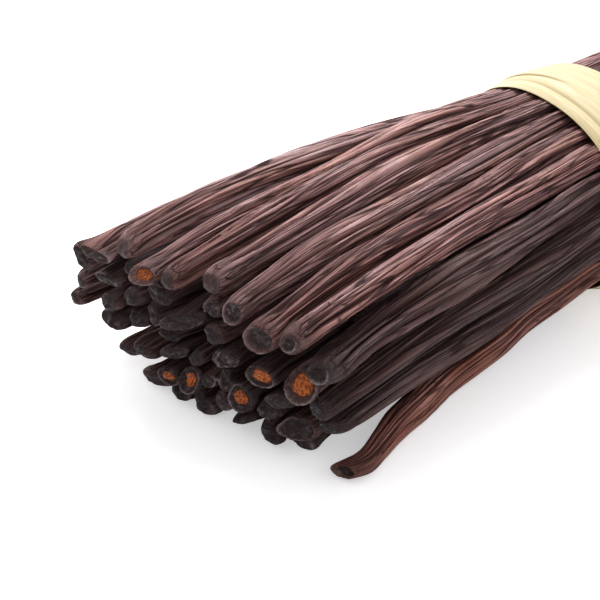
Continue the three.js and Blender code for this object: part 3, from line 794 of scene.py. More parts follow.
def pod_surface(layout, index, ends, span, counts, outward, seed):
    """One closed pod, or a stretch of it, as rings of points from front to back. The reach from the
    axis is the pressed radius with its wrinkles, times the share of each end's profile. The grain,
    which the skin's patterns follow, keeps to the plain radius, so that they run straight along."""
    random = np.random.default_rng(seed)
    rings, sides = counts
    radius = layout.radius[index]
    y, share, owner = ring_places(ends, span, rings, radius)
    behind = ((y - span[0]) / radius, (span[1] - y) / radius)
    turn = np.arange(sides) / sides - 0.5
    bias = 0.0 if outward is None else OUTWARD_BIAS
    angle = (outward or 0.0) + 2 * np.pi * turn - bias * np.sin(2 * np.pi * turn)
    own = free_reach(layout, index, ends, behind, random, y, angle)
    middle, reach = pressed_radius(layout, index, y, angle, own)
    relief, crease, tint = wrinkled(random, y, angle, share, np.minimum(*behind), radius)
    reach = (reach + relief) * share[:, None]
    marks = {"crease": crease, "tint": tint, **{mark: np.zeros_like(reach) for mark in END_MARKS}}
    along = np.broadcast_to(y[:, None], reach.shape)
    for end, way, distance in zip(ends, (-1, 1), behind):
        mine = (owner == way)[:, None]
        along = along + way * shape_end(end, distance, mine, random, angle, share, reach, marks)
    across = np.stack([np.cos(angle), np.sin(angle)], axis=-1)[None, :]
    place = middle[:, None] + reach[..., None] * across
    points = np.stack([place[..., 0], along, np.maximum(place[..., 1], 0.0)], axis=-1)
    plain = (radius * share)[:, None, None] * across
    grain = np.stack([plain[..., 0] + POD_GRAIN_STEP * index, along, plain[..., 1]], axis=-1)
    return Surface(points, marks, grain)


# ---- meshes ----

UV_MARGIN = 0.06


def ring_faces(rings, sides):
    """Quads between rings and a fan at each end, with the corners' places in a unit strip: u round
    the ring, v by ring. The two poles come after all ring points."""
    r, s = np.meshgrid(np.arange(rings - 1), np.arange(sides), indexing="ij")
    n = (s + 1) % sides
    quads = np.stack([r * sides + s, (r + 1) * sides + s, (r + 1) * sides + n, r * sides + n], axis=-1)
    quad_u = np.stack([s, s, s + 1, s + 1], axis=-1) / sides
    quad_v = np.stack([r, r + 1, r + 1, r], axis=-1) + 1
    k = np.arange(sides)
    n = (k + 1) % sides
    last = (rings - 1) * sides
    front = np.stack([np.full(sides, rings * sides), k, n], axis=-1)
    back = np.stack([np.full(sides, rings * sides + 1), last + n, last + k], axis=-1)
    tris = np.concatenate([front, back])
    tri_u = np.concatenate([np.stack([k + 0.5, k, k + 1], axis=-1), np.stack([k + 0.5, k + 1, k], axis=-1)])
    tri_v = np.concatenate([np.tile([0, 1, 1], (sides, 1)), np.tile([rings + 1, rings, rings], (sides, 1))])
    return (quads.reshape(-1, 4), quad_u.reshape(-1, 4), quad_v.reshape(-1, 4)), (tris, tri_u / sides, tri_v)


def with_poles(rings):
    """What each point of the rings has, and after it what the two poles have: the mean of the ring
    next to each."""
    means = np.stack([rings[0].mean(axis=0), rings[-1].mean(axis=0)])
    return np.concatenate([rings.reshape(-1, *rings.shape[2:]), means])


def strip_heights(points):
    """How far along each ring lies, from pole to pole, as a share of the whole walk."""
    front, back = (np.broadcast_to(ring.mean(axis=0), ring.shape)[None] for ring in (points[0], points[-1]))
    whole = np.concatenate([front, points, back])
    steps = np.linalg.norm(np.diff(whole, axis=0), axis=-1).mean(axis=1)
    walked = np.concatenate([[0.0], np.cumsum(np.maximum(steps, 1e-3))])
    return walked / walked[-1]


def mesh_object(name, surfaces, columns, material, values):
    """One mesh from closed ringed surfaces, each in its own box of the map. values holds a few
    numbers for each surface, which become attributes beside the surfaces' own marks."""
    rows = math.ceil(len(surfaces) / columns)
    verts, loops, starts, uvs = [], [], [], []
    base, corner = 0, 0
    for i, surface in enumerate(surfaces):
        rings, sides = surface.points.shape[:2]
        (quads, quad_u, quad_v), (tris, tri_u, tri_v) = ring_faces(rings, sides)
        heights = strip_heights(surface.points)
        column, row = i % columns, i // columns
        for faces, u, v in ((quads, quad_u, quad_v), (tris, tri_u, tri_v)):
            inset = UV_MARGIN / 2 + (1 - UV_MARGIN) * u
            height = UV_MARGIN / 4 + (1 - UV_MARGIN / 2) * heights[v]
            uvs.append(np.stack([(column + inset) / columns, (row + height) / rows], axis=-1).reshape(-1, 2))
            loops.append((faces + base).ravel())
            starts.append(corner + np.arange(len(faces)) * faces.shape[1])
            corner += faces.size
        verts.append(with_poles(surface.points))
        base += rings * sides + 2
    verts, loops, starts, uvs = (np.concatenate(part) for part in (verts, loops, starts, uvs))
    mesh = bpy.data.meshes.new(name)
    mesh.vertices.add(len(verts))
    mesh.vertices.foreach_set("co", (verts * MM).astype(np.float32).ravel())
    mesh.loops.add(len(loops))
    mesh.loops.foreach_set("vertex_index", loops.astype(np.int32))
    mesh.polygons.add(len(starts))
    mesh.polygons.foreach_set("loop_start", starts.astype(np.int32))
    mesh.polygons.foreach_set("use_smooth", np.ones(len(starts), bool))
    mesh.uv_layers.new(name="OFBake").data.foreach_set("uv", uvs.astype(np.float32).ravel())
    write_marks(mesh, surfaces, values)
    mesh.update()
    mesh.validate()
    mesh.materials.append(material)
    piece = bpy.data.objects.new(name, mesh)
    bpy.context.scene.collection.objects.link(piece)
    return piece


def write_marks(mesh, surfaces, values):
    """The surfaces' marks, their numbers and their grain, as attributes of the points."""
    found = {mark: np.clip(np.concatenate([with_poles(s.marks[mark]) for s in surfaces]), 0.0, 1.0)
             for mark in surfaces[0].marks}
    points = [s.grain.shape[0] * s.grain.shape[1] + 2 for s in surfaces]
    found.update({key: np.repeat(numbers, points) for key, numbers in values.items()})
    for key, numbers in found.items():
        layer = mesh.attributes.new(key, "FLOAT", "POINT")
        layer.data.foreach_set("value", numbers.astype(np.float32))
    grain = np.concatenate([with_poles(s.grain) for s in surfaces])
    layer = mesh.attributes.new("grain", "FLOAT_VECTOR", "POINT")
    layer.data.foreach_set("vector", grain.astype(np.float32).ravel())


# ---- materials ----

MIX_FACTOR, MIX_A, MIX_B, MIX_RESULT = 0, 6, 7, 2


class Wiring:
    """Adds nodes to one node tree and joins them."""

    def __init__(self, tree):
        self.tree = tree

    def add(self, kind, inputs=None, **settings):
        """A node with its settings; each input is a number, a colour or another node's socket."""
        node = self.tree.nodes.new(kind)
        for key, value in settings.items():
            setattr(node, key, value)
        for key, value in (inputs or {}).items():
            if isinstance(value, bpy.types.NodeSocket):
                self.tree.links.new(value, node.inputs[key])
            else:
                node.inputs[key].default_value = value
        return node

    def math(self, operation, a, b=0.0, clamp=False):
        """One sum, product or the like."""
        return self.add("ShaderNodeMath", {0: a, 1: b}, operation=operation, use_clamp=clamp).outputs[0]

    def product(self, *factors):
        """All of them multiplied."""
        return reduce(lambda a, b: self.math("MULTIPLY", a, b), factors)

    def largest(self, *values):
        """The largest of them."""
        return reduce(lambda a, b: self.math("MAXIMUM", a, b), values)

    def less(self, whole, part):
        """The whole without a part."""
        return self.math("SUBTRACT", whole, part)

    def mix(self, factor, a, b, blend="MIX"):
        """A blend of two colours."""
        node = self.add("ShaderNodeMix", {MIX_FACTOR: factor, MIX_A: a, MIX_B: b},
                        data_type="RGBA", blend_type=blend)
        return node.outputs[MIX_RESULT]

    def ramp(self, value, low, high, to_low=0.0, to_high=1.0):
        """value carried from one range to another, held at both ends."""
        return self.add("ShaderNodeMapRange", {0: value, 1: low, 2: high, 3: to_low, 4: to_high}).outputs[0]

    def attribute(self, name, vector=False):
        """One of the mesh's own attributes."""
        node = self.add("ShaderNodeAttribute", attribute_name=name)
        return node.outputs["Vector" if vector else "Fac"]

    def noise(self, place, scale, detail):
        """Plain noise from 0 to 1."""
        node = self.add("ShaderNodeTexNoise", {"Vector": place, "Scale": scale, "Detail": detail})
        return node.outputs[0]

    def own_place(self):
        """Places in the object's own space."""
        return self.add("ShaderNodeTexCoord").outputs["Object"]

    def darken(self, colour, value):
        """A colour multiplied by a value."""
        grey = self.add("ShaderNodeCombineColor", {0: value, 1: value, 2: value}).outputs[0]
        return self.mix(1.0, colour, grey, "MULTIPLY")

    def bump(self, height, strength, distance):
        """A normal that shows a height."""
        inputs = {"Strength": strength, "Distance": distance, "Height": height}
        return self.add("ShaderNodeBump", inputs).outputs[0]

    def feed(self, node, inputs):
        """Joins sockets to the inputs of a node that is there."""
        for key, socket in inputs.items():
            self.tree.links.new(socket, node.inputs[key])


def colour4(colour):
    """A colour with its alpha."""
    return (*colour, 1.0)


def node_group(name, inputs, outputs):
    """An empty group with named sockets, and its two ends."""
    tree = bpy.data.node_groups.new(name, "ShaderNodeTree")
    for label, kind in inputs:
        tree.interface.new_socket(label, in_out="INPUT", socket_type=kind)
    for label, kind in outputs:
        tree.interface.new_socket(label, in_out="OUTPUT", socket_type=kind)
    return tree, tree.nodes.new("NodeGroupInput"), tree.nodes.new("NodeGroupOutput")


FLOAT, COLOUR, VECTOR = "NodeSocketFloat", "NodeSocketColor", "NodeSocketVector"
STREAK_ROUGHNESS = 0.55
WAVER = 1.2  # how far long cells waver to the side, in cells
WAVER_SCALE = 0.6
LINE_CORE = 0.4  # within this share of its width a line has its full strength


def stretched_grain(wire, given):
    """The grain, with its own scale across and along the fibre."""
    scale = wire.add("ShaderNodeCombineXYZ", {0: given["Across"], 1: given["Along"], 2: given["Across"]})
    inputs = {0: given["Grain"], 1: scale.outputs[0]}
    return wire.add("ShaderNodeVectorMath", inputs, operation="MULTIPLY").outputs[0]


def long_streaks():
    """Noise drawn out along the grain: its scale across and along the fibre differ. Value is the
    noise, and Line is one on thin lines where it passes its middle."""
    name = "Long streaks"
    if name in bpy.data.node_groups:
        return bpy.data.node_groups[name]
    labels = ("Across", "Along", "Detail", "Line width")
    inputs = (("Grain", VECTOR), *((label, FLOAT) for label in labels))
    tree, start, end = node_group(name, inputs, (("Value", FLOAT), ("Line", FLOAT)))
    wire = Wiring(tree)
    given = start.outputs
    noise = wire.add("ShaderNodeTexNoise", {"Vector": stretched_grain(wire, given), "Scale": 1.0,
                                            "Detail": given["Detail"], "Roughness": STREAK_ROUGHNESS})
    value = noise.outputs[0]
    off = wire.math("ABSOLUTE", wire.less(value, 0.5))
    line = wire.math("SUBTRACT", 1.0, wire.math("DIVIDE", off, given["Line width"]), clamp=True)
    wire.feed(end, {"Value": value, "Line": line})
    return tree


def streaks(wire, grain, across, along, detail=2.0, line=0.03):
    """One use of the streak group: its value and its line."""
    node = wire.add("ShaderNodeGroup", {"Grain": grain, "Across": across, "Along": along,
                                        "Detail": detail, "Line width": line}, node_tree=long_streaks())
    return node.outputs["Value"], node.outputs["Line"]


def long_cells():
    """Long cells drawn out along the grain, after a slight sideways waver. Line is one on the thin
    lines between cells and falls to zero beside them, and Fold is a number of each cell's own."""
    name = "Long cells"
    if name in bpy.data.node_groups:
        return bpy.data.node_groups[name]
    labels = ("Across", "Along", "Line width")
    inputs = (("Grain", VECTOR), *((label, FLOAT) for label in labels))
    tree, start, end = node_group(name, inputs, (("Line", FLOAT), ("Fold", FLOAT)))
    wire = Wiring(tree)
    drawn = stretched_grain(wire, start.outputs)
    waver = wire.add("ShaderNodeTexNoise", {"Vector": drawn, "Scale": WAVER_SCALE, "Detail": 1.0})
    wavered = {0: waver.outputs["Color"], 1: (WAVER, WAVER, WAVER), 2: drawn}
    place = wire.add("ShaderNodeVectorMath", wavered, operation="MULTIPLY_ADD").outputs[0]
    edge, cell = (wire.add("ShaderNodeTexVoronoi", {"Vector": place, "Scale": 1.0}, feature=feature)
                  for feature in ("DISTANCE_TO_EDGE", "F1"))
    off = wire.math("DIVIDE", edge.outputs["Distance"], start.outputs["Line width"])
    number = wire.add("ShaderNodeSeparateXYZ", {0: cell.outputs["Color"]}).outputs[0]
    wire.feed(end, {"Line": wire.ramp(off, LINE_CORE, 1.0, 1.0, 0.0), "Fold": number})
    return tree


def fine_folds(wire, grain, across, along, line):
    """One use of the cell group: its line and its fold."""
    node = wire.add("ShaderNodeGroup", {"Grain": grain, "Across": across, "Along": along,
                                        "Line width": line}, node_tree=long_cells())
    return node.outputs["Line"], node.outputs["Fold"]


# The skin's patterns, by how often they repeat across and along the grain in each mm.
BROAD_STREAKS = (0.45, 0.03)
CAST_STREAKS = (0.30, 0.022, 1.0)  # with their detail
FIBRES = (2.6, 0.10, 2.0, 0.035)  # with their detail and line width
CRACKS = (1.3, 0.05, 0.085)  # with their line width, in cells
FURROWS = (0.6, 0.024, 0.055)
KINKS = (0.95, 0.24, 0.09)
PATCHES = (0.16, 3.0)  # scale and detail
SPECKS = (2.1, 4.0)
BROWN_CAST = (1.03, 0.975, 0.91, 1.0)  # the skin varies between these two casts
PURPLE_CAST = (0.96, 1.01, 1.10, 1.0)

# How much darker creases, cracks and thin lines are, which is partly painted shade in them, how much
# a lip counts as inside, and how much rougher what is dark or inside is.
CREASE_DARK = 0.97
CRACK_DARK = 0.92
LINE_DARK = 0.35
LIP_INNER = 0.6
ROUGHER = 0.25

# Heights of the fine relief.
FIBRE_RELIEF = 0.22
LINE_RELIEF = 0.25
FOLD_RELIEF = 0.25
INNER_RELIEF = 2.0
FACE_GRAIN = 1.2

# Ramps of the skin: from these two values of a pattern or mark, to 0 and 1 or to the next two.
STREAK_WARMTH = (0.3, 0.7, -0.16, 0.16)
TINT_WARMTH = (0.2, 0.8, -0.09, 0.09)
CAST = (0.40, 0.60)
PATCH_SHADE = (0.25, 0.75, 0.85, 1.15)
FIBRE_SHADE = (0.25, 0.75, 0.95, 1.05)
FOLD_SHADE = (0.0, 1.0, 0.92, 1.08)
# painted shade: the face of an end, and the skin near it, are darkened
FACE_PAINTED_SHADE = (0.0, 1.0, 1.0, 0.13)
OFF_FACE = (0.45, 0.85, 1.0, 0.0)
WARM_CRACKS = (0.0, 0.35, 0.45, 1.0)
CRACKED_STREAKS = (0.46, 0.58)
KINKED_PATCHES = (0.62, 0.70, 0.0, 0.8)
SCAR_SPECKS = (0.35, 0.6, 1.0, 0.7)
PULP_SPECKS = (0.42, 0.62)
LIP_SPECKS = (0.3, 0.6, 0.25, 0.85)
FIBRE_ROUGHNESS = (0.3, 0.7, 0.50, 0.62)
PATCH_COAT = (0.40, 0.60, 0.06, 0.32)
FACE_COAT = (0.0, 1.0, 1.0, 0.08)
WARM_COAT = (0.0, 0.35, 0.3, 1.0)
LIGHT_COAT = (0.9, 2.0, 0.8, 1.4)
WET_SPECKS = (0.50, 0.62, 0.0, 0.55)

# Face carries an end's face and the painted shade near each end
SKIN_MARKS = ("Warmth", "Lightness", "Crease", "Tint", "Lip", "Scar", "Pulp", "Face")
SKIN_COLOURS = (
    "Dark colour", "Warm colour", "Crease colour", "Lip colour", "Scar colour", "Pulp colour", "Pulp shade")
Patterns = namedtuple("Patterns", "broad fibre line shown_line fold patches speck cracks")


def skin_patterns(wire, given):
    """The patterns of the skin, and its cracks and furrows where they show: fine ones on rough warm
    skin, furrows everywhere, and kinks on patches. None of them shows on the face of an end."""
    grain = given["Grain"]
    broad, _ = streaks(wire, grain, *BROAD_STREAKS)
    fibre, line = streaks(wire, grain, *FIBRES)
    crack, _ = fine_folds(wire, grain, *CRACKS)
    furrow, fold = fine_folds(wire, grain, *FURROWS)
    kink, _ = fine_folds(wire, grain, *KINKS)
    patches = wire.noise(grain, *PATCHES)
    off_face = wire.ramp(given["Face"], *OFF_FACE)
    rough_skin = wire.product(wire.ramp(given["Warmth"], *WARM_CRACKS), off_face)
    cracks = wire.largest(
        wire.product(crack, wire.ramp(broad, *CRACKED_STREAKS), rough_skin),
        wire.product(furrow, off_face),
        wire.product(kink, wire.ramp(patches, *KINKED_PATCHES), rough_skin))
    shown_line = wire.product(line, off_face)
    return Patterns(broad, fibre, line, shown_line, fold, patches, wire.noise(grain, *SPECKS), cracks)


def skin_colour(wire, given, drawn, dark):
    """The colour of the skin between its ends' marks: two skin colours blended by warmth, cast brown
    or purple, lighter or darker by patch, fibre and fold, darkened as painted shade on and near the
    face of an end, and darkest in creases and cracks, where its own dark lines carry painted shade."""
    warm = wire.math("ADD", given["Warmth"], wire.ramp(drawn.broad, *STREAK_WARMTH))
    warm = wire.math("ADD", warm, wire.ramp(given["Tint"], *TINT_WARMTH), clamp=True)
    colour = wire.mix(warm, given["Dark colour"], given["Warm colour"])
    hue, _ = streaks(wire, given["Grain"], *CAST_STREAKS)
    colour = wire.mix(1.0, colour, wire.mix(wire.ramp(hue, *CAST), BROWN_CAST, PURPLE_CAST), "MULTIPLY")
    shade = wire.product(
        given["Lightness"], wire.ramp(drawn.patches, *PATCH_SHADE), wire.ramp(drawn.fibre, *FIBRE_SHADE),
        wire.ramp(drawn.fold, *FOLD_SHADE), wire.ramp(given["Face"], *FACE_PAINTED_SHADE))
    return wire.mix(dark, wire.darken(colour, shade), given["Crease colour"])


def end_colour(wire, given, drawn, colour):
    """The skin's colour with the marks of an end on it: its sunken scar, kept near black as painted
    shade, its pulp, and its lip, partly a pale dry rim and partly painted highlight.
    """
    scar = wire.product(given["Scar"], wire.ramp(drawn.speck, *SCAR_SPECKS))
    colour = wire.mix(scar, colour, given["Scar colour"])
    pulp = wire.mix(wire.ramp(drawn.speck, *PULP_SPECKS), given["Pulp shade"], given["Pulp colour"])
    colour = wire.mix(given["Pulp"], colour, pulp)
    lip = wire.math("MULTIPLY", given["Lip"], wire.ramp(drawn.speck, *LIP_SPECKS), clamp=True)
    return wire.mix(lip, colour, given["Lip colour"])


def skin_coat(wire, given, drawn, dark, inner):
    """How oily the skin is: by patch, more on warm and light skin, less in creases and on the face of
    an end, where a few specks are wet."""
    oily = wire.product(
        wire.ramp(drawn.patches, *PATCH_COAT), wire.less(1.0, dark), wire.ramp(given["Face"], *FACE_COAT),
        wire.ramp(given["Warmth"], *WARM_COAT), wire.ramp(given["Lightness"], *LIGHT_COAT))
    wet = wire.product(given["Face"], wire.ramp(drawn.speck, *WET_SPECKS))
    return wire.product(wire.largest(oily, wet), wire.less(1.0, inner))


def skin_relief(wire, given, drawn, inner):
    """The fine relief: fibres and folds stand up, lines and cracks lie deep, and ends are grainy."""
    relief = wire.less(wire.product(drawn.fibre, FIBRE_RELIEF), wire.product(drawn.line, LINE_RELIEF))
    relief = wire.math("ADD", relief, wire.product(drawn.fold, FOLD_RELIEF))
    relief = wire.less(relief, drawn.cracks)
    relief = wire.math("ADD", relief, wire.product(inner, drawn.speck, INNER_RELIEF))
    return wire.math("ADD", relief, wire.product(given["Face"], drawn.speck, FACE_GRAIN))


def cured_skin():
    """The colour, roughness, coat and relief of cured pod skin."""
    name = "Cured skin"
    if name in bpy.data.node_groups:
        return bpy.data.node_groups[name]
    tree, start, end = node_group(
        name,
        (("Grain", VECTOR), *((n, FLOAT) for n in SKIN_MARKS), *((c, COLOUR) for c in SKIN_COLOURS)),
        (("Colour", COLOUR), ("Roughness", FLOAT), ("Coat", FLOAT), ("Height", FLOAT)))
    given = start.outputs
    wire = Wiring(tree)
    drawn = skin_patterns(wire, given)
    # dark: the own darkness of creases, cracks and thin lines, and painted shade in them
    dark = wire.largest(wire.product(given["Crease"], CREASE_DARK), wire.product(drawn.cracks, CRACK_DARK),
                        wire.product(drawn.shown_line, LINE_DARK))
    inner = wire.largest(given["Pulp"], wire.product(given["Lip"], LIP_INNER))
    rough = wire.math("ADD", wire.ramp(drawn.fibre, *FIBRE_ROUGHNESS), wire.product(dark, ROUGHER))
    wire.feed(end, {
        "Colour": end_colour(wire, given, drawn, skin_colour(wire, given, drawn, dark)),
        "Roughness": wire.math("ADD", rough, wire.product(inner, ROUGHER), clamp=True),
        "Coat": skin_coat(wire, given, drawn, dark, inner),
        "Height": skin_relief(wire, given, drawn, inner),
    })
    return tree


SKIN_COAT_ROUGHNESS = 0.24
SKIN_SPECULAR = 0.27
SKIN_SPECULAR_TINT = (1.0, 0.90, 0.93, 1.0)
SKIN_BUMP = (0.9, 0.25 * MM)  # strength, and height
CORE_SHADED_LIGHTNESS = 0.3  # of skin without marks, which only the core has: kept dark as painted shade deep in the bundle


def skin_material(name, dark, warm, crease, from_mesh=True):
    """Cured skin on a plain glossy shader. Without the mesh's own marks it is plain dark skin, darkened
    further as painted shade.
    """
    if name in bpy.data.materials:
        return bpy.data.materials[name]
    colours = bpy.context.scene.pod_bundle.colours
    material = bpy.data.materials.new(name)
    material.use_nodes = True
    wire = Wiring(material.node_tree)
    skin = wire.add("ShaderNodeGroup", node_tree=cured_skin())
    if from_mesh:
        wire.feed(skin, {"Grain": wire.attribute("grain", vector=True)})
        wire.feed(skin, {label: wire.attribute(label.lower()) for label in SKIN_MARKS})
    else:
        inputs = {0: wire.own_place(), "Scale": 1.0 / MM}
        wire.feed(skin, {"Grain": wire.add("ShaderNodeVectorMath", inputs, operation="SCALE").outputs[0]})
        skin.inputs["Lightness"].default_value = CORE_SHADED_LIGHTNESS
    given = (dark, warm, crease, colours.lip, colours.scar, colours.pulp, colours.pulp_shade)
    for label, colour in zip(SKIN_COLOURS, given):
        skin.inputs[label].default_value = colour4(colour)
    shader = wire.tree.nodes["Principled BSDF"]
    shader.inputs["Coat Roughness"].default_value = SKIN_COAT_ROUGHNESS
    shader.inputs["Specular IOR Level"].default_value = SKIN_SPECULAR
    shader.inputs["Specular Tint"].default_value = SKIN_SPECULAR_TINT
    wire.feed(shader, {
        "Base Color": skin.outputs["Colour"],
        "Roughness": skin.outputs["Roughness"],
        "Coat Weight": skin.outputs["Coat"],
        "Normal": wire.bump(skin.outputs["Height"], *SKIN_BUMP),
    })
    return material


RAFFIA_STREAKS = (0.8, 0.03)  # as for the skin
RAFFIA_FIBRES = (5.0, 0.06, 3.0, 0.05)
STREAK_TINT = (0.35, 0.7, 0.0, 0.6)
FIBRE_TINT = (0.35, 0.75, 0.0, 0.35)
RAFFIA_ROUGHNESS = (0.3, 0.7, 0.42, 0.62)
RAFFIA_BUMP = (0.5, 0.15 * MM)
RAFFIA_LINE_TINT = 0.5
RAFFIA_LINE_RELIEF = 0.4


def raffia_material():
    """Straw-coloured fibre: deeper streaks, fibres and thin lines along the strip."""
    name = "raffia_fibre"
    if name in bpy.data.materials:
        return bpy.data.materials[name]
    raffia = bpy.context.scene.pod_bundle.raffia
    material = bpy.data.materials.new(name)
    material.use_nodes = True
    wire = Wiring(material.node_tree)
    grain = wire.attribute("grain", vector=True)
    broad, _ = streaks(wire, grain, *RAFFIA_STREAKS)
    fibre, line = streaks(wire, grain, *RAFFIA_FIBRES)
    tint = wire.math("ADD", wire.ramp(broad, *STREAK_TINT), wire.ramp(fibre, *FIBRE_TINT), clamp=True)
    tint = wire.largest(tint, wire.product(line, RAFFIA_LINE_TINT))
    relief = wire.less(fibre, wire.product(line, RAFFIA_LINE_RELIEF))
    wire.feed(wire.tree.nodes["Principled BSDF"], {
        "Base Color": wire.mix(tint, colour4(raffia.pale), colour4(raffia.deep)),
        "Roughness": wire.ramp(fibre, *RAFFIA_ROUGHNESS),
        "Normal": wire.bump(relief, *RAFFIA_BUMP),
    })
    return material


# ---- the pieces ----

BACK_STUB_SEED = 100  # added to the seeds of the inner pods' back ends


def finish_piece(piece, node):
    """Fixes a piece to the frame."""
    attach(piece, BODY)
    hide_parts(node)


def pod_part(layout, index, part):
    """A whole pod, or one end of an inner pod, which stops inside the bundle."""
    sizes = bpy.context.scene.pod_bundle.sizes
    pod = layout.pods[index]
    first, last = layout.front_end[index], layout.back_end[index]
    front, back = ENDS[pod.end], ENDS[BACK_ENDS[index % len(BACK_ENDS)]]
    if part == "whole":
        return pod_surface(layout, index, (front, back), (first, last), (sizes.rings, sizes.sides),
                           math.radians(pod.tie), index)
    length = sizes.stub_length / MM
    counts = (sizes.stub_rings, sizes.stub_sides)
    if part == "front":
        return pod_surface(layout, index, (front, BURIED), (first, first + length), counts, None, index)
    return pod_surface(layout, index, (BURIED, back), (last - length, last), counts, None,
                       index + BACK_STUB_SEED)


def pods_piece(name, layout, indices, columns, part):
    """One mesh of whole pods, or of the front or back ends of inner ones."""
    colours = bpy.context.scene.pod_bundle.colours
    material = skin_material("cured_pod_skin", colours.dark, colours.warm, colours.crease)
    surfaces = [pod_part(layout, index, part) for index in indices]
    warmth, lightness = zip(*(TONES[layout.pods[index].tone] for index in indices))
    # the ends of inner pods are darkened as painted shade
    inner_shade = 1.0 if part == "whole" else INNER_PAINTED_SHADE
    values = {"warmth": warmth, "lightness": np.array(lightness) * inner_shade}
    piece = mesh_object(name, surfaces, columns, material, values)
    finish_piece(piece, "pod_bundle")


OUTER_GROUPS = (
    ("pods_right", (0, 1, 2, 3, 4)),
    ("pods_top", (5, 6, 7, 8, 9)),
    ("pods_left", (10, 11, 12, 13, 14, 15)),
    ("pods_under", (16, 17, 18, 19, 20, 21)),
)


class OuterPods(bpy.types.Operator):
    """Makes the whole pods that show on the outside of the bundle"""

    bl_idname = "pods.outer"
    bl_label = "Outer pods"

    def execute(self, context):
        layout = Layout()
        for name, indices in OUTER_GROUPS:
            pods_piece(name, layout, indices, len(indices), "whole")
        return {"FINISHED"}


INNER_COLUMNS = 7  # of pod ends across the map


class InnerPods(bpy.types.Operator):
    """Makes both ends of the pods inside the bundle, which run into its core"""

    bl_idname = "pods.inner"
    bl_label = "Inner pods"

    def execute(self, context):
        layout = Layout()
        inner = range(len(OUTER_PODS), layout.count)
        for part in ("front", "back"):
            pods_piece(f"inner_ends_{part}", layout, inner, INNER_COLUMNS, part)
        return {"FINISHED"}


CORE_RINGS = 90
CORE_SIDES = 96
CORE_ROUNDING = 3.0  # how far from its ends the core is rounded
CORE_TIP = 0.02  # the square of what is left of its width at the very end, as a share
CORE_SEED = 3
CORE_BUMP = 0.5
CORE_BUMP_LENGTH = 9.0
CORE_BUMPS = (20, 22)  # along and round the core


class BundleCore(bpy.types.Operator):
    """Makes the core that fills the bundle behind its outer pods, kept dark as painted shade"""

    bl_idname = "pods.core"
    bl_label = "Core"

    def execute(self, context):
        settings = context.scene.pod_bundle
        inset = settings.sizes.core_inset / MM
        setback = settings.sizes.core_setback / MM
        y = np.linspace(FRONT_Y + setback, BACK_Y - setback, CORE_RINGS)
        angle = np.linspace(0.0, 2 * np.pi, CORE_SIDES, endpoint=False)
        to_end = np.minimum(y - y[0], y[-1] - y) / CORE_ROUNDING
        share = np.sqrt(np.clip(to_end + CORE_TIP, 0.0, 1.0))[:, None]
        z, half_width, half_height = (value[:, None] for value in section_at(y))
        table = np.random.default_rng(CORE_SEED).uniform(-1.0, 1.0, CORE_BUMPS)
        down = (y[:, None] - y[0]) / CORE_BUMP_LENGTH
        out = CORE_BUMP * lattice(table, down, angle[None, :] / (2 * np.pi) * CORE_BUMPS[1]) - inset
        r = outline_radius(angle)[None, :] * share
        across = (half_width + out) * r * np.cos(angle)
        up = (half_height + out) * r * np.sin(angle)
        skew = FACE_SKEW * across * opening(y, WIDTH_POWER)[:, None]
        points = np.stack([across, y[:, None] + skew, z + up], axis=-1)
        colours = settings.colours
        material = skin_material("core_skin", colours.dark, colours.dark, colours.crease, from_mesh=False)
        core = mesh_object("bundle_core", [Surface(points, {}, points)], 1, material, {})
        finish_piece(core, "pod_bundle")
        return {"FINISHED"}


class StrayPod(bpy.types.Operator):
    """Makes the pod that lies apart on the floor beside the bundle"""

    bl_idname = "pods.stray"
    bl_label = "Lone pod"

    def execute(self, context):
        settings = context.scene.pod_bundle
        sizes = settings.sizes
        layout = Layout()
        ends = (ENDS["torn"], ENDS["blunt"])
        span = (layout.front_end[-1], layout.back_end[-1])
        counts = (sizes.rings + STRAY_EXTRA_RINGS, sizes.sides + STRAY_EXTRA_SIDES)
        surface = pod_surface(layout, layout.stray, ends, span, counts, STRAY_FACING, STRAY_SEED)
        colours = settings.colours
        material = skin_material(
            "red_brown_skin", colours.stray_dark, colours.stray_warm, colours.stray_crease)
        warmth, lightness = TONES["lone"]
        values = {"warmth": [warmth], "lightness": [lightness]}
        piece = mesh_object("stray_pod_skin", [surface], 1, material, values)
        finish_piece(piece, "stray_pod")
        return {"FINISHED"}


# ---- raffia ----

STRIP_SECTION = 36
STRIP_EDGE_POWER = 0.7  # below 1, points crowd towards both edges of a strip
STRIP_FOLDS = ((1.6, 1.0), (3.7, 0.55), (8.0, 0.25))  # half waves across a strip, and share of the fold
STRIP_DRIFT = 0.9  # how far folds drift across a strip, in radians of their wave
STRIP_DRIFT_LENGTHS = (9.0, 22.0)  # along a strip, for each radian of the drift's own wave
STRIP_GRAIN_STEP = 31.0


def unit(vectors):
    """Vectors brought to length one."""
    return vectors / np.linalg.norm(vectors, axis=-1, keepdims=True)


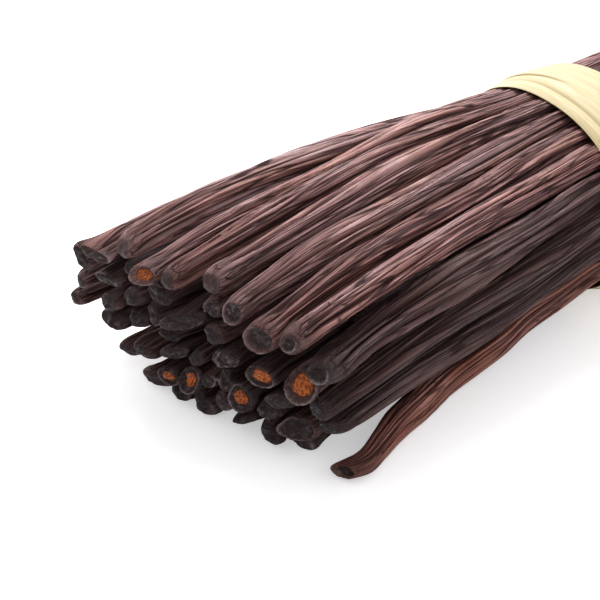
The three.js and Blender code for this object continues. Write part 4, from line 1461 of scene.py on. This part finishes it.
def strip_surface(centre, outward, width, thickness, seed, fold, tuck=0.0):
    """A flat creased strip along a path. Its section is a thin oval: the cosine of the section's
    angle runs across the strip and the sine gives the thickness. Folds are slow waves across the
    strip whose places drift along it, and both edges turn in by the tuck."""
    random = np.random.default_rng(seed)
    ahead = unit(np.gradient(centre, axis=0))
    across = unit(np.cross(outward, ahead))
    up = np.cross(ahead, across)
    phase = np.linspace(0.0, 2 * np.pi, STRIP_SECTION, endpoint=False)
    v = np.sign(np.cos(phase)) * np.abs(np.cos(phase)) ** STRIP_EDGE_POWER
    rise = np.sin(phase) * thickness / 2
    walked = np.concatenate([[0.0], np.cumsum(np.linalg.norm(np.diff(centre, axis=0), axis=1))])
    relief = np.zeros((len(centre), STRIP_SECTION))
    for waves, share in STRIP_FOLDS:
        start = random.uniform(0.0, 6.0)
        length = random.uniform(*STRIP_DRIFT_LENGTHS)
        drift = start + STRIP_DRIFT * np.sin(walked / length + random.uniform(0, 6))
        relief += fold * share * np.sin(waves * v[None, :] * np.pi / 2 + drift[:, None])
    relief -= tuck * v[None, :] ** 4
    half = np.broadcast_to(np.asarray(width, float) / 2, (len(centre),))[:, None]
    aside = half * v[None, :]
    points = (centre[:, None] + across[:, None] * aside[..., None]
              + up[:, None] * (rise[None, :] + relief)[..., None])
    along, thick = (np.broadcast_to(part, relief.shape) for part in (walked[:, None], rise[None, :]))
    return Surface(points, {}, np.stack([aside + STRIP_GRAIN_STEP * seed, along, thick], axis=-1))


# Each winding: y from the tie's middle, sway along y, share of the width, layer.
WINDINGS = (
    (-4.2, 0.5, 1.00, 0),
    (-0.6, 0.7, 1.10, 0),
    (3.2, 0.6, 1.05, 0),
    (5.8, 0.4, 0.95, 0),
    (-2.4, 1.4, 0.90, 1),
    (1.5, -1.6, 1.00, 1),
    (4.4, 1.1, 0.90, 1),
    (-0.2, 2.8, 0.75, 2),
)
WINDING_STEPS = 230
KNOT_ANGLE = math.radians(180.0)
WINDING_OVERLAP = math.radians(7.0)
WINDING_SEED = 40  # for the windings' routes, and the next one for their strips
WINDING_STRIP_SEED = 50
WINDING_START_SPREAD = 0.4
WINDING_QUICK_SWAY = 0.25
WINDING_CLEARANCE = 0.06
WINDING_RIPPLE = 0.05
WINDING_CLIMB = 0.10  # how much further out a winding ends than it starts
WINDING_FOLD = 0.16
WINDING_TUCK = 0.45
OUTWARD_STEP = 5.0  # a direction outwards is found over this distance


def winding_surface(index, settings):
    """One turn of a strip round the tie: the outline at an angle, lifted by its layer and by small
    slow waves, with a sway along Y. It starts and ends under the knot."""
    start, sway, share, layer = WINDINGS[index]
    random = np.random.default_rng(WINDING_SEED + index)
    turn = np.linspace(-WINDING_OVERLAP, 2 * np.pi + WINDING_OVERLAP, WINDING_STEPS)
    angle = KNOT_ANGLE + turn
    shift = random.uniform(-WINDING_START_SPREAD, WINDING_START_SPREAD)
    y = TIE_Y + start + sway * np.sin(turn / 2 + shift) + WINDING_QUICK_SWAY * np.sin(3 * turn + index)
    lift = (settings.lift + settings.thickness / 2 + layer * settings.layer) / MM + WINDING_CLEARANCE
    lift = lift + WINDING_RIPPLE * np.sin(5 * turn + index) + WINDING_CLIMB * turn / (2 * np.pi)
    centre = outline_point(y, angle, lift)
    outward = unit(outline_point(y, angle, lift + OUTWARD_STEP) - centre)
    outward[:, 1] = 0.0
    return strip_surface(centre, outward, settings.width * share / MM, settings.thickness / MM,
                         WINDING_STRIP_SEED + index, WINDING_FOLD, WINDING_TUCK)


class RaffiaBand(bpy.types.Operator):
    """Winds the raffia strips round the middle of the bundle"""

    bl_idname = "pods.raffia_band"
    bl_label = "Raffia band"

    def execute(self, context):
        settings = context.scene.pod_bundle
        strips = [winding_surface(i, settings.raffia) for i in range(len(WINDINGS))]
        band = mesh_object("raffia_band", strips, len(strips), raffia_material(), {})
        finish_piece(band, "raffia_tie")
        return {"FINISHED"}


# The knot's loops and tails as points across, down and out of the band from the knot's seat. A
# tail's first points are lengths, and how far down its last ones lie is a share of the tail.
KNOT_LOOPS = (
    ((-4.6, -2.0, -0.6), (-3.0, -1.6, 1.0), (0.0, -0.4, 1.9), (2.8, 1.2, 1.2), (3.2, 3.0, 0.2),
     (1.2, 3.4, -0.5), (-0.6, 2.4, -0.2)),
    ((4.6, -2.0, -0.6), (3.0, -1.8, 0.8), (0.2, -0.6, 1.2), (-2.6, 1.0, 0.9), (-3.2, 2.8, 0.2),
     (-1.4, 3.3, -0.5), (0.4, 2.2, -0.3)),
    ((0.0, -3.6, -0.7), (0.2, -3.2, 0.9), (0.2, -1.0, 2.4), (0.1, 1.2, 2.3), (0.0, 3.0, 1.0),
     (0.0, 3.3, -0.7)),
)
KNOT_TAILS = (
    (((0.8, 2.2, 0.4), (2.0, 5.5, 0.7)), ((4.6, 0.42, 1.8), (6.4, 0.72, 0.6), (9.0, 1.0, -1.2))),
    (((-0.8, 2.2, 0.4), (-1.8, 5.5, 0.9)), ((-3.0, 0.45, 2.4), (-4.6, 0.75, 1.0), (-5.4, 0.96, -0.6))),
)
LOOP_WIDTHS = (4.0, 4.0, 4.4)
LOOP_STEPS = 60
LOOP_SEED = 70
TAIL_WIDTH = 4.6
TAIL_TAPER = 0.35  # how much narrower a tail is at its tip, as a share
TAIL_STEPS = 90
TAIL_SEED = 80
KNOT_FOLD = 0.3
KNOT_SEAT = 3.0  # from the bundle's outline out to the knot's middle
KNOT_MIDDLE = 1.5  # its loops face away from a point this far below the seat


class RaffiaKnot(bpy.types.Operator):
    """Ties the raffia in a flat knot with two hanging tails"""

    bl_idname = "pods.raffia_knot"
    bl_label = "Raffia knot"

    def execute(self, context):
        raffia = context.scene.pod_bundle.raffia
        thickness = raffia.thickness / MM
        seat = outline_point(np.array([TIE_Y]), np.array([KNOT_ANGLE]), KNOT_SEAT)[0]
        out = np.array([math.cos(KNOT_ANGLE), 0.0, math.sin(KNOT_ANGLE)])
        side = np.array([0.0, 1.0, 0.0])
        down = np.cross(out, side)
        axes = np.stack([side, down if down[2] < 0 else -down, out])
        strips = []
        for i, (points, width) in enumerate(zip(KNOT_LOOPS, LOOP_WIDTHS)):
            path = along_path(seat + np.array(points) @ axes, LOOP_STEPS)
            outward = unit(path - (seat - KNOT_MIDDLE * out))
            strips.append(strip_surface(path, outward, width, thickness, LOOP_SEED + i, KNOT_FOLD))
        taper = TAIL_WIDTH * (1.0 - TAIL_TAPER * np.linspace(0.0, 1.0, TAIL_STEPS) ** 3)
        for i, (near, far) in enumerate(KNOT_TAILS):
            points = np.concatenate([near, np.array(far) * (1.0, raffia.tail / MM, 1.0)])
            path = along_path(seat + points @ axes, TAIL_STEPS)
            outward = np.broadcast_to(out, path.shape)
            strips.append(strip_surface(path, outward, taper, thickness, TAIL_SEED + i, KNOT_FOLD))
        knot = mesh_object("raffia_knot", strips, len(strips), raffia_material(), {})
        finish_piece(knot, "raffia_tie")
        return {"FINISHED"}


# ---- the stage ----

HORIZON_SHARE = 0.15  # how bright the surroundings are low down, against overhead
HORIZON_RISE = 0.8  # the height, with 1 overhead, from which they are as bright as there
SKY_COLOUR = (1.0, 0.99, 1.0, 1.0)
BACKDROP = 0.9  # how bright they look where they are seen
FLOOR_RADIUS = 3.0  # in metres, as are the places of the lights
FLOOR_SIDES = 96
FLOOR_MOTTLE = (14.0, 2.0)  # scale and detail of its faint unevenness
MOTTLE_SHADE = (0.3, 0.7, 0.985, 1.0)
FLOOR_ROUGHNESS = 0.8
FLOOR_GLOW = 0.45  # lifts the floor's shadows where they are seen, and lights nothing
SENSOR = 36.0
NEAREST = 0.01
FURTHEST = 20.0
WHITE = (1.0, 1.0, 1.0)
LIGHT_AIM = (0.0, -0.03, 0.015)

# Each light: name, the setting that gives its power, place, size and colour.
LIGHTS = (
    ("key_light", "key", (-0.36, 0.30, 0.70), 0.45, (1.0, 0.98, 1.0)),
    ("side_light", "side", (-0.62, 0.25, 0.24), 0.45, WHITE),
    ("fill_light", "fill", (0.35, -0.60, 0.40), 0.5, WHITE),
    ("right_light", "right", (0.50, 0.48, 0.30), 0.45, WHITE),
)


def area_light(name, power, place, size, colour):
    """A square soft light aimed at the middle of the bundle."""
    data = bpy.data.lights.new(name, "AREA")
    data.energy = power
    data.size = size
    data.color = colour
    light = bpy.data.objects.new(name, data)
    light.location = place
    aim = Vector(LIGHT_AIM) - Vector(place)
    light.rotation_euler = aim.to_track_quat("-Z", "Y").to_euler()
    bpy.context.scene.collection.objects.link(light)


def place_camera(studio):
    """The camera, turned by its azimuth and elevation."""
    scene = bpy.context.scene
    data = bpy.data.cameras.new("camera")
    data.lens = studio.lens
    data.sensor_width = SENSOR
    data.clip_start = NEAREST
    data.clip_end = FURTHEST
    camera = bpy.data.objects.new("camera", data)
    level = math.cos(studio.elevation)
    back = Vector((math.sin(studio.azimuth) * level, -math.cos(studio.azimuth) * level,
                   math.sin(studio.elevation)))
    camera.location = studio.place
    camera.rotation_euler = back.to_track_quat("Z", "Y").to_euler()
    scene.collection.objects.link(camera)
    scene.camera = camera


def make_surroundings(studio):
    """A plain sky, dimmer towards the horizon, that looks evenly bright where it is seen."""
    world = bpy.data.worlds.new("surroundings")
    world.use_nodes = True
    wire = Wiring(world.node_tree)
    place = wire.add("ShaderNodeTexCoord").outputs["Generated"]
    height = wire.add("ShaderNodeSeparateXYZ", {0: place}).outputs[2]
    overhead = wire.ramp(height, 0.0, HORIZON_RISE, HORIZON_SHARE * studio.sky, studio.sky)
    seen = wire.add("ShaderNodeLightPath").outputs["Is Camera Ray"]
    lighting = wire.product(overhead, wire.less(1.0, seen))
    background = wire.tree.nodes["Background"]
    background.inputs["Color"].default_value = SKY_COLOUR
    wire.feed(background, {"Strength": wire.math("ADD", lighting, wire.product(seen, BACKDROP))})
    bpy.context.scene.world = world


def floor_material(studio):
    """A plain surface with a faint mottle, and a glow that only the camera sees."""
    material = bpy.data.materials.new("floor")
    material.use_nodes = True
    wire = Wiring(material.node_tree)
    mottle = wire.ramp(wire.noise(wire.own_place(), *FLOOR_MOTTLE), *MOTTLE_SHADE)
    seen = wire.add("ShaderNodeLightPath").outputs["Is Camera Ray"]
    shader = wire.tree.nodes["Principled BSDF"]
    shader.inputs["Roughness"].default_value = FLOOR_ROUGHNESS
    shader.inputs["Emission Color"].default_value = colour4(studio.floor)
    wire.feed(shader, {
        "Base Color": wire.darken(colour4(studio.floor), mottle),
        "Emission Strength": wire.product(seen, FLOOR_GLOW),
    })
    return material


def make_floor(studio):
    """A round plain floor."""
    angle = np.linspace(0.0, 2 * np.pi, FLOOR_SIDES, endpoint=False)
    rim = np.stack([np.cos(angle), np.sin(angle), 0.0 * angle], axis=-1) * FLOOR_RADIUS
    mesh = bpy.data.meshes.new("floor")
    mesh.from_pydata(rim.tolist(), [], [list(range(len(rim)))])
    mesh.materials.append(floor_material(studio))
    floor = bpy.data.objects.new("floor", mesh)
    bpy.context.scene.collection.objects.link(floor)


class Stage(bpy.types.Operator):
    """Sets up the camera, the floor and the soft lights"""

    bl_idname = "pods.stage"
    bl_label = "Stage"

    def execute(self, context):
        studio = context.scene.pod_bundle.studio
        place_camera(studio)
        for name, setting, place, size, colour in LIGHTS:
            area_light(name, getattr(studio, setting), place, size, colour)
        make_surroundings(studio)
        make_floor(studio)
        context.scene.view_settings.view_transform = "Standard"
        return {"FINISHED"}


PIECES = (Stage, OuterPods, InnerPods, BundleCore, StrayPod, RaffiaBand, RaffiaKnot)


class PodsPanel(bpy.types.Panel):
    """Lists the settings and the pieces."""

    bl_idname = "VIEW3D_PT_pods"
    bl_label = "Vanilla pods"
    bl_space_type = "VIEW_3D"
    bl_region_type = "UI"
    bl_category = "Pods"

    def draw(self, context):
        settings = context.scene.pod_bundle
        for title, group in (("Pods", settings.sizes), ("Colours", settings.colours),
                             ("Raffia", settings.raffia), ("Studio", settings.studio)):
            box = self.layout.box()
            box.label(text=title)
            for field in group.bl_rna.properties.keys():
                if field not in ("rna_type", "name"):
                    box.prop(group, field)
        for piece in PIECES:
            self.layout.operator(piece.bl_idname)


CLASSES = (PodSizes, PodColours, RaffiaSizes, StudioSettings, BundleSettings, *PIECES, PodsPanel)


def register():
    """Adds the classes and the scene's settings."""
    for item in CLASSES:
        bpy.utils.register_class(item)
    bpy.types.Scene.pod_bundle = bpy.props.PointerProperty(type=BundleSettings)


def unregister():
    """Takes them away again."""
    del bpy.types.Scene.pod_bundle
    for item in reversed(CLASSES):
        bpy.utils.unregister_class(item)


def main():
    """Builds every piece in order."""
    register()
    bpy.ops.pods.stage()
    bpy.ops.pods.outer()
    bpy.ops.pods.inner()
    bpy.ops.pods.core()
    bpy.ops.pods.stray()
    bpy.ops.pods.raffia_band()
    bpy.ops.pods.raffia_knot()


if __name__ == "__main__":
    main()
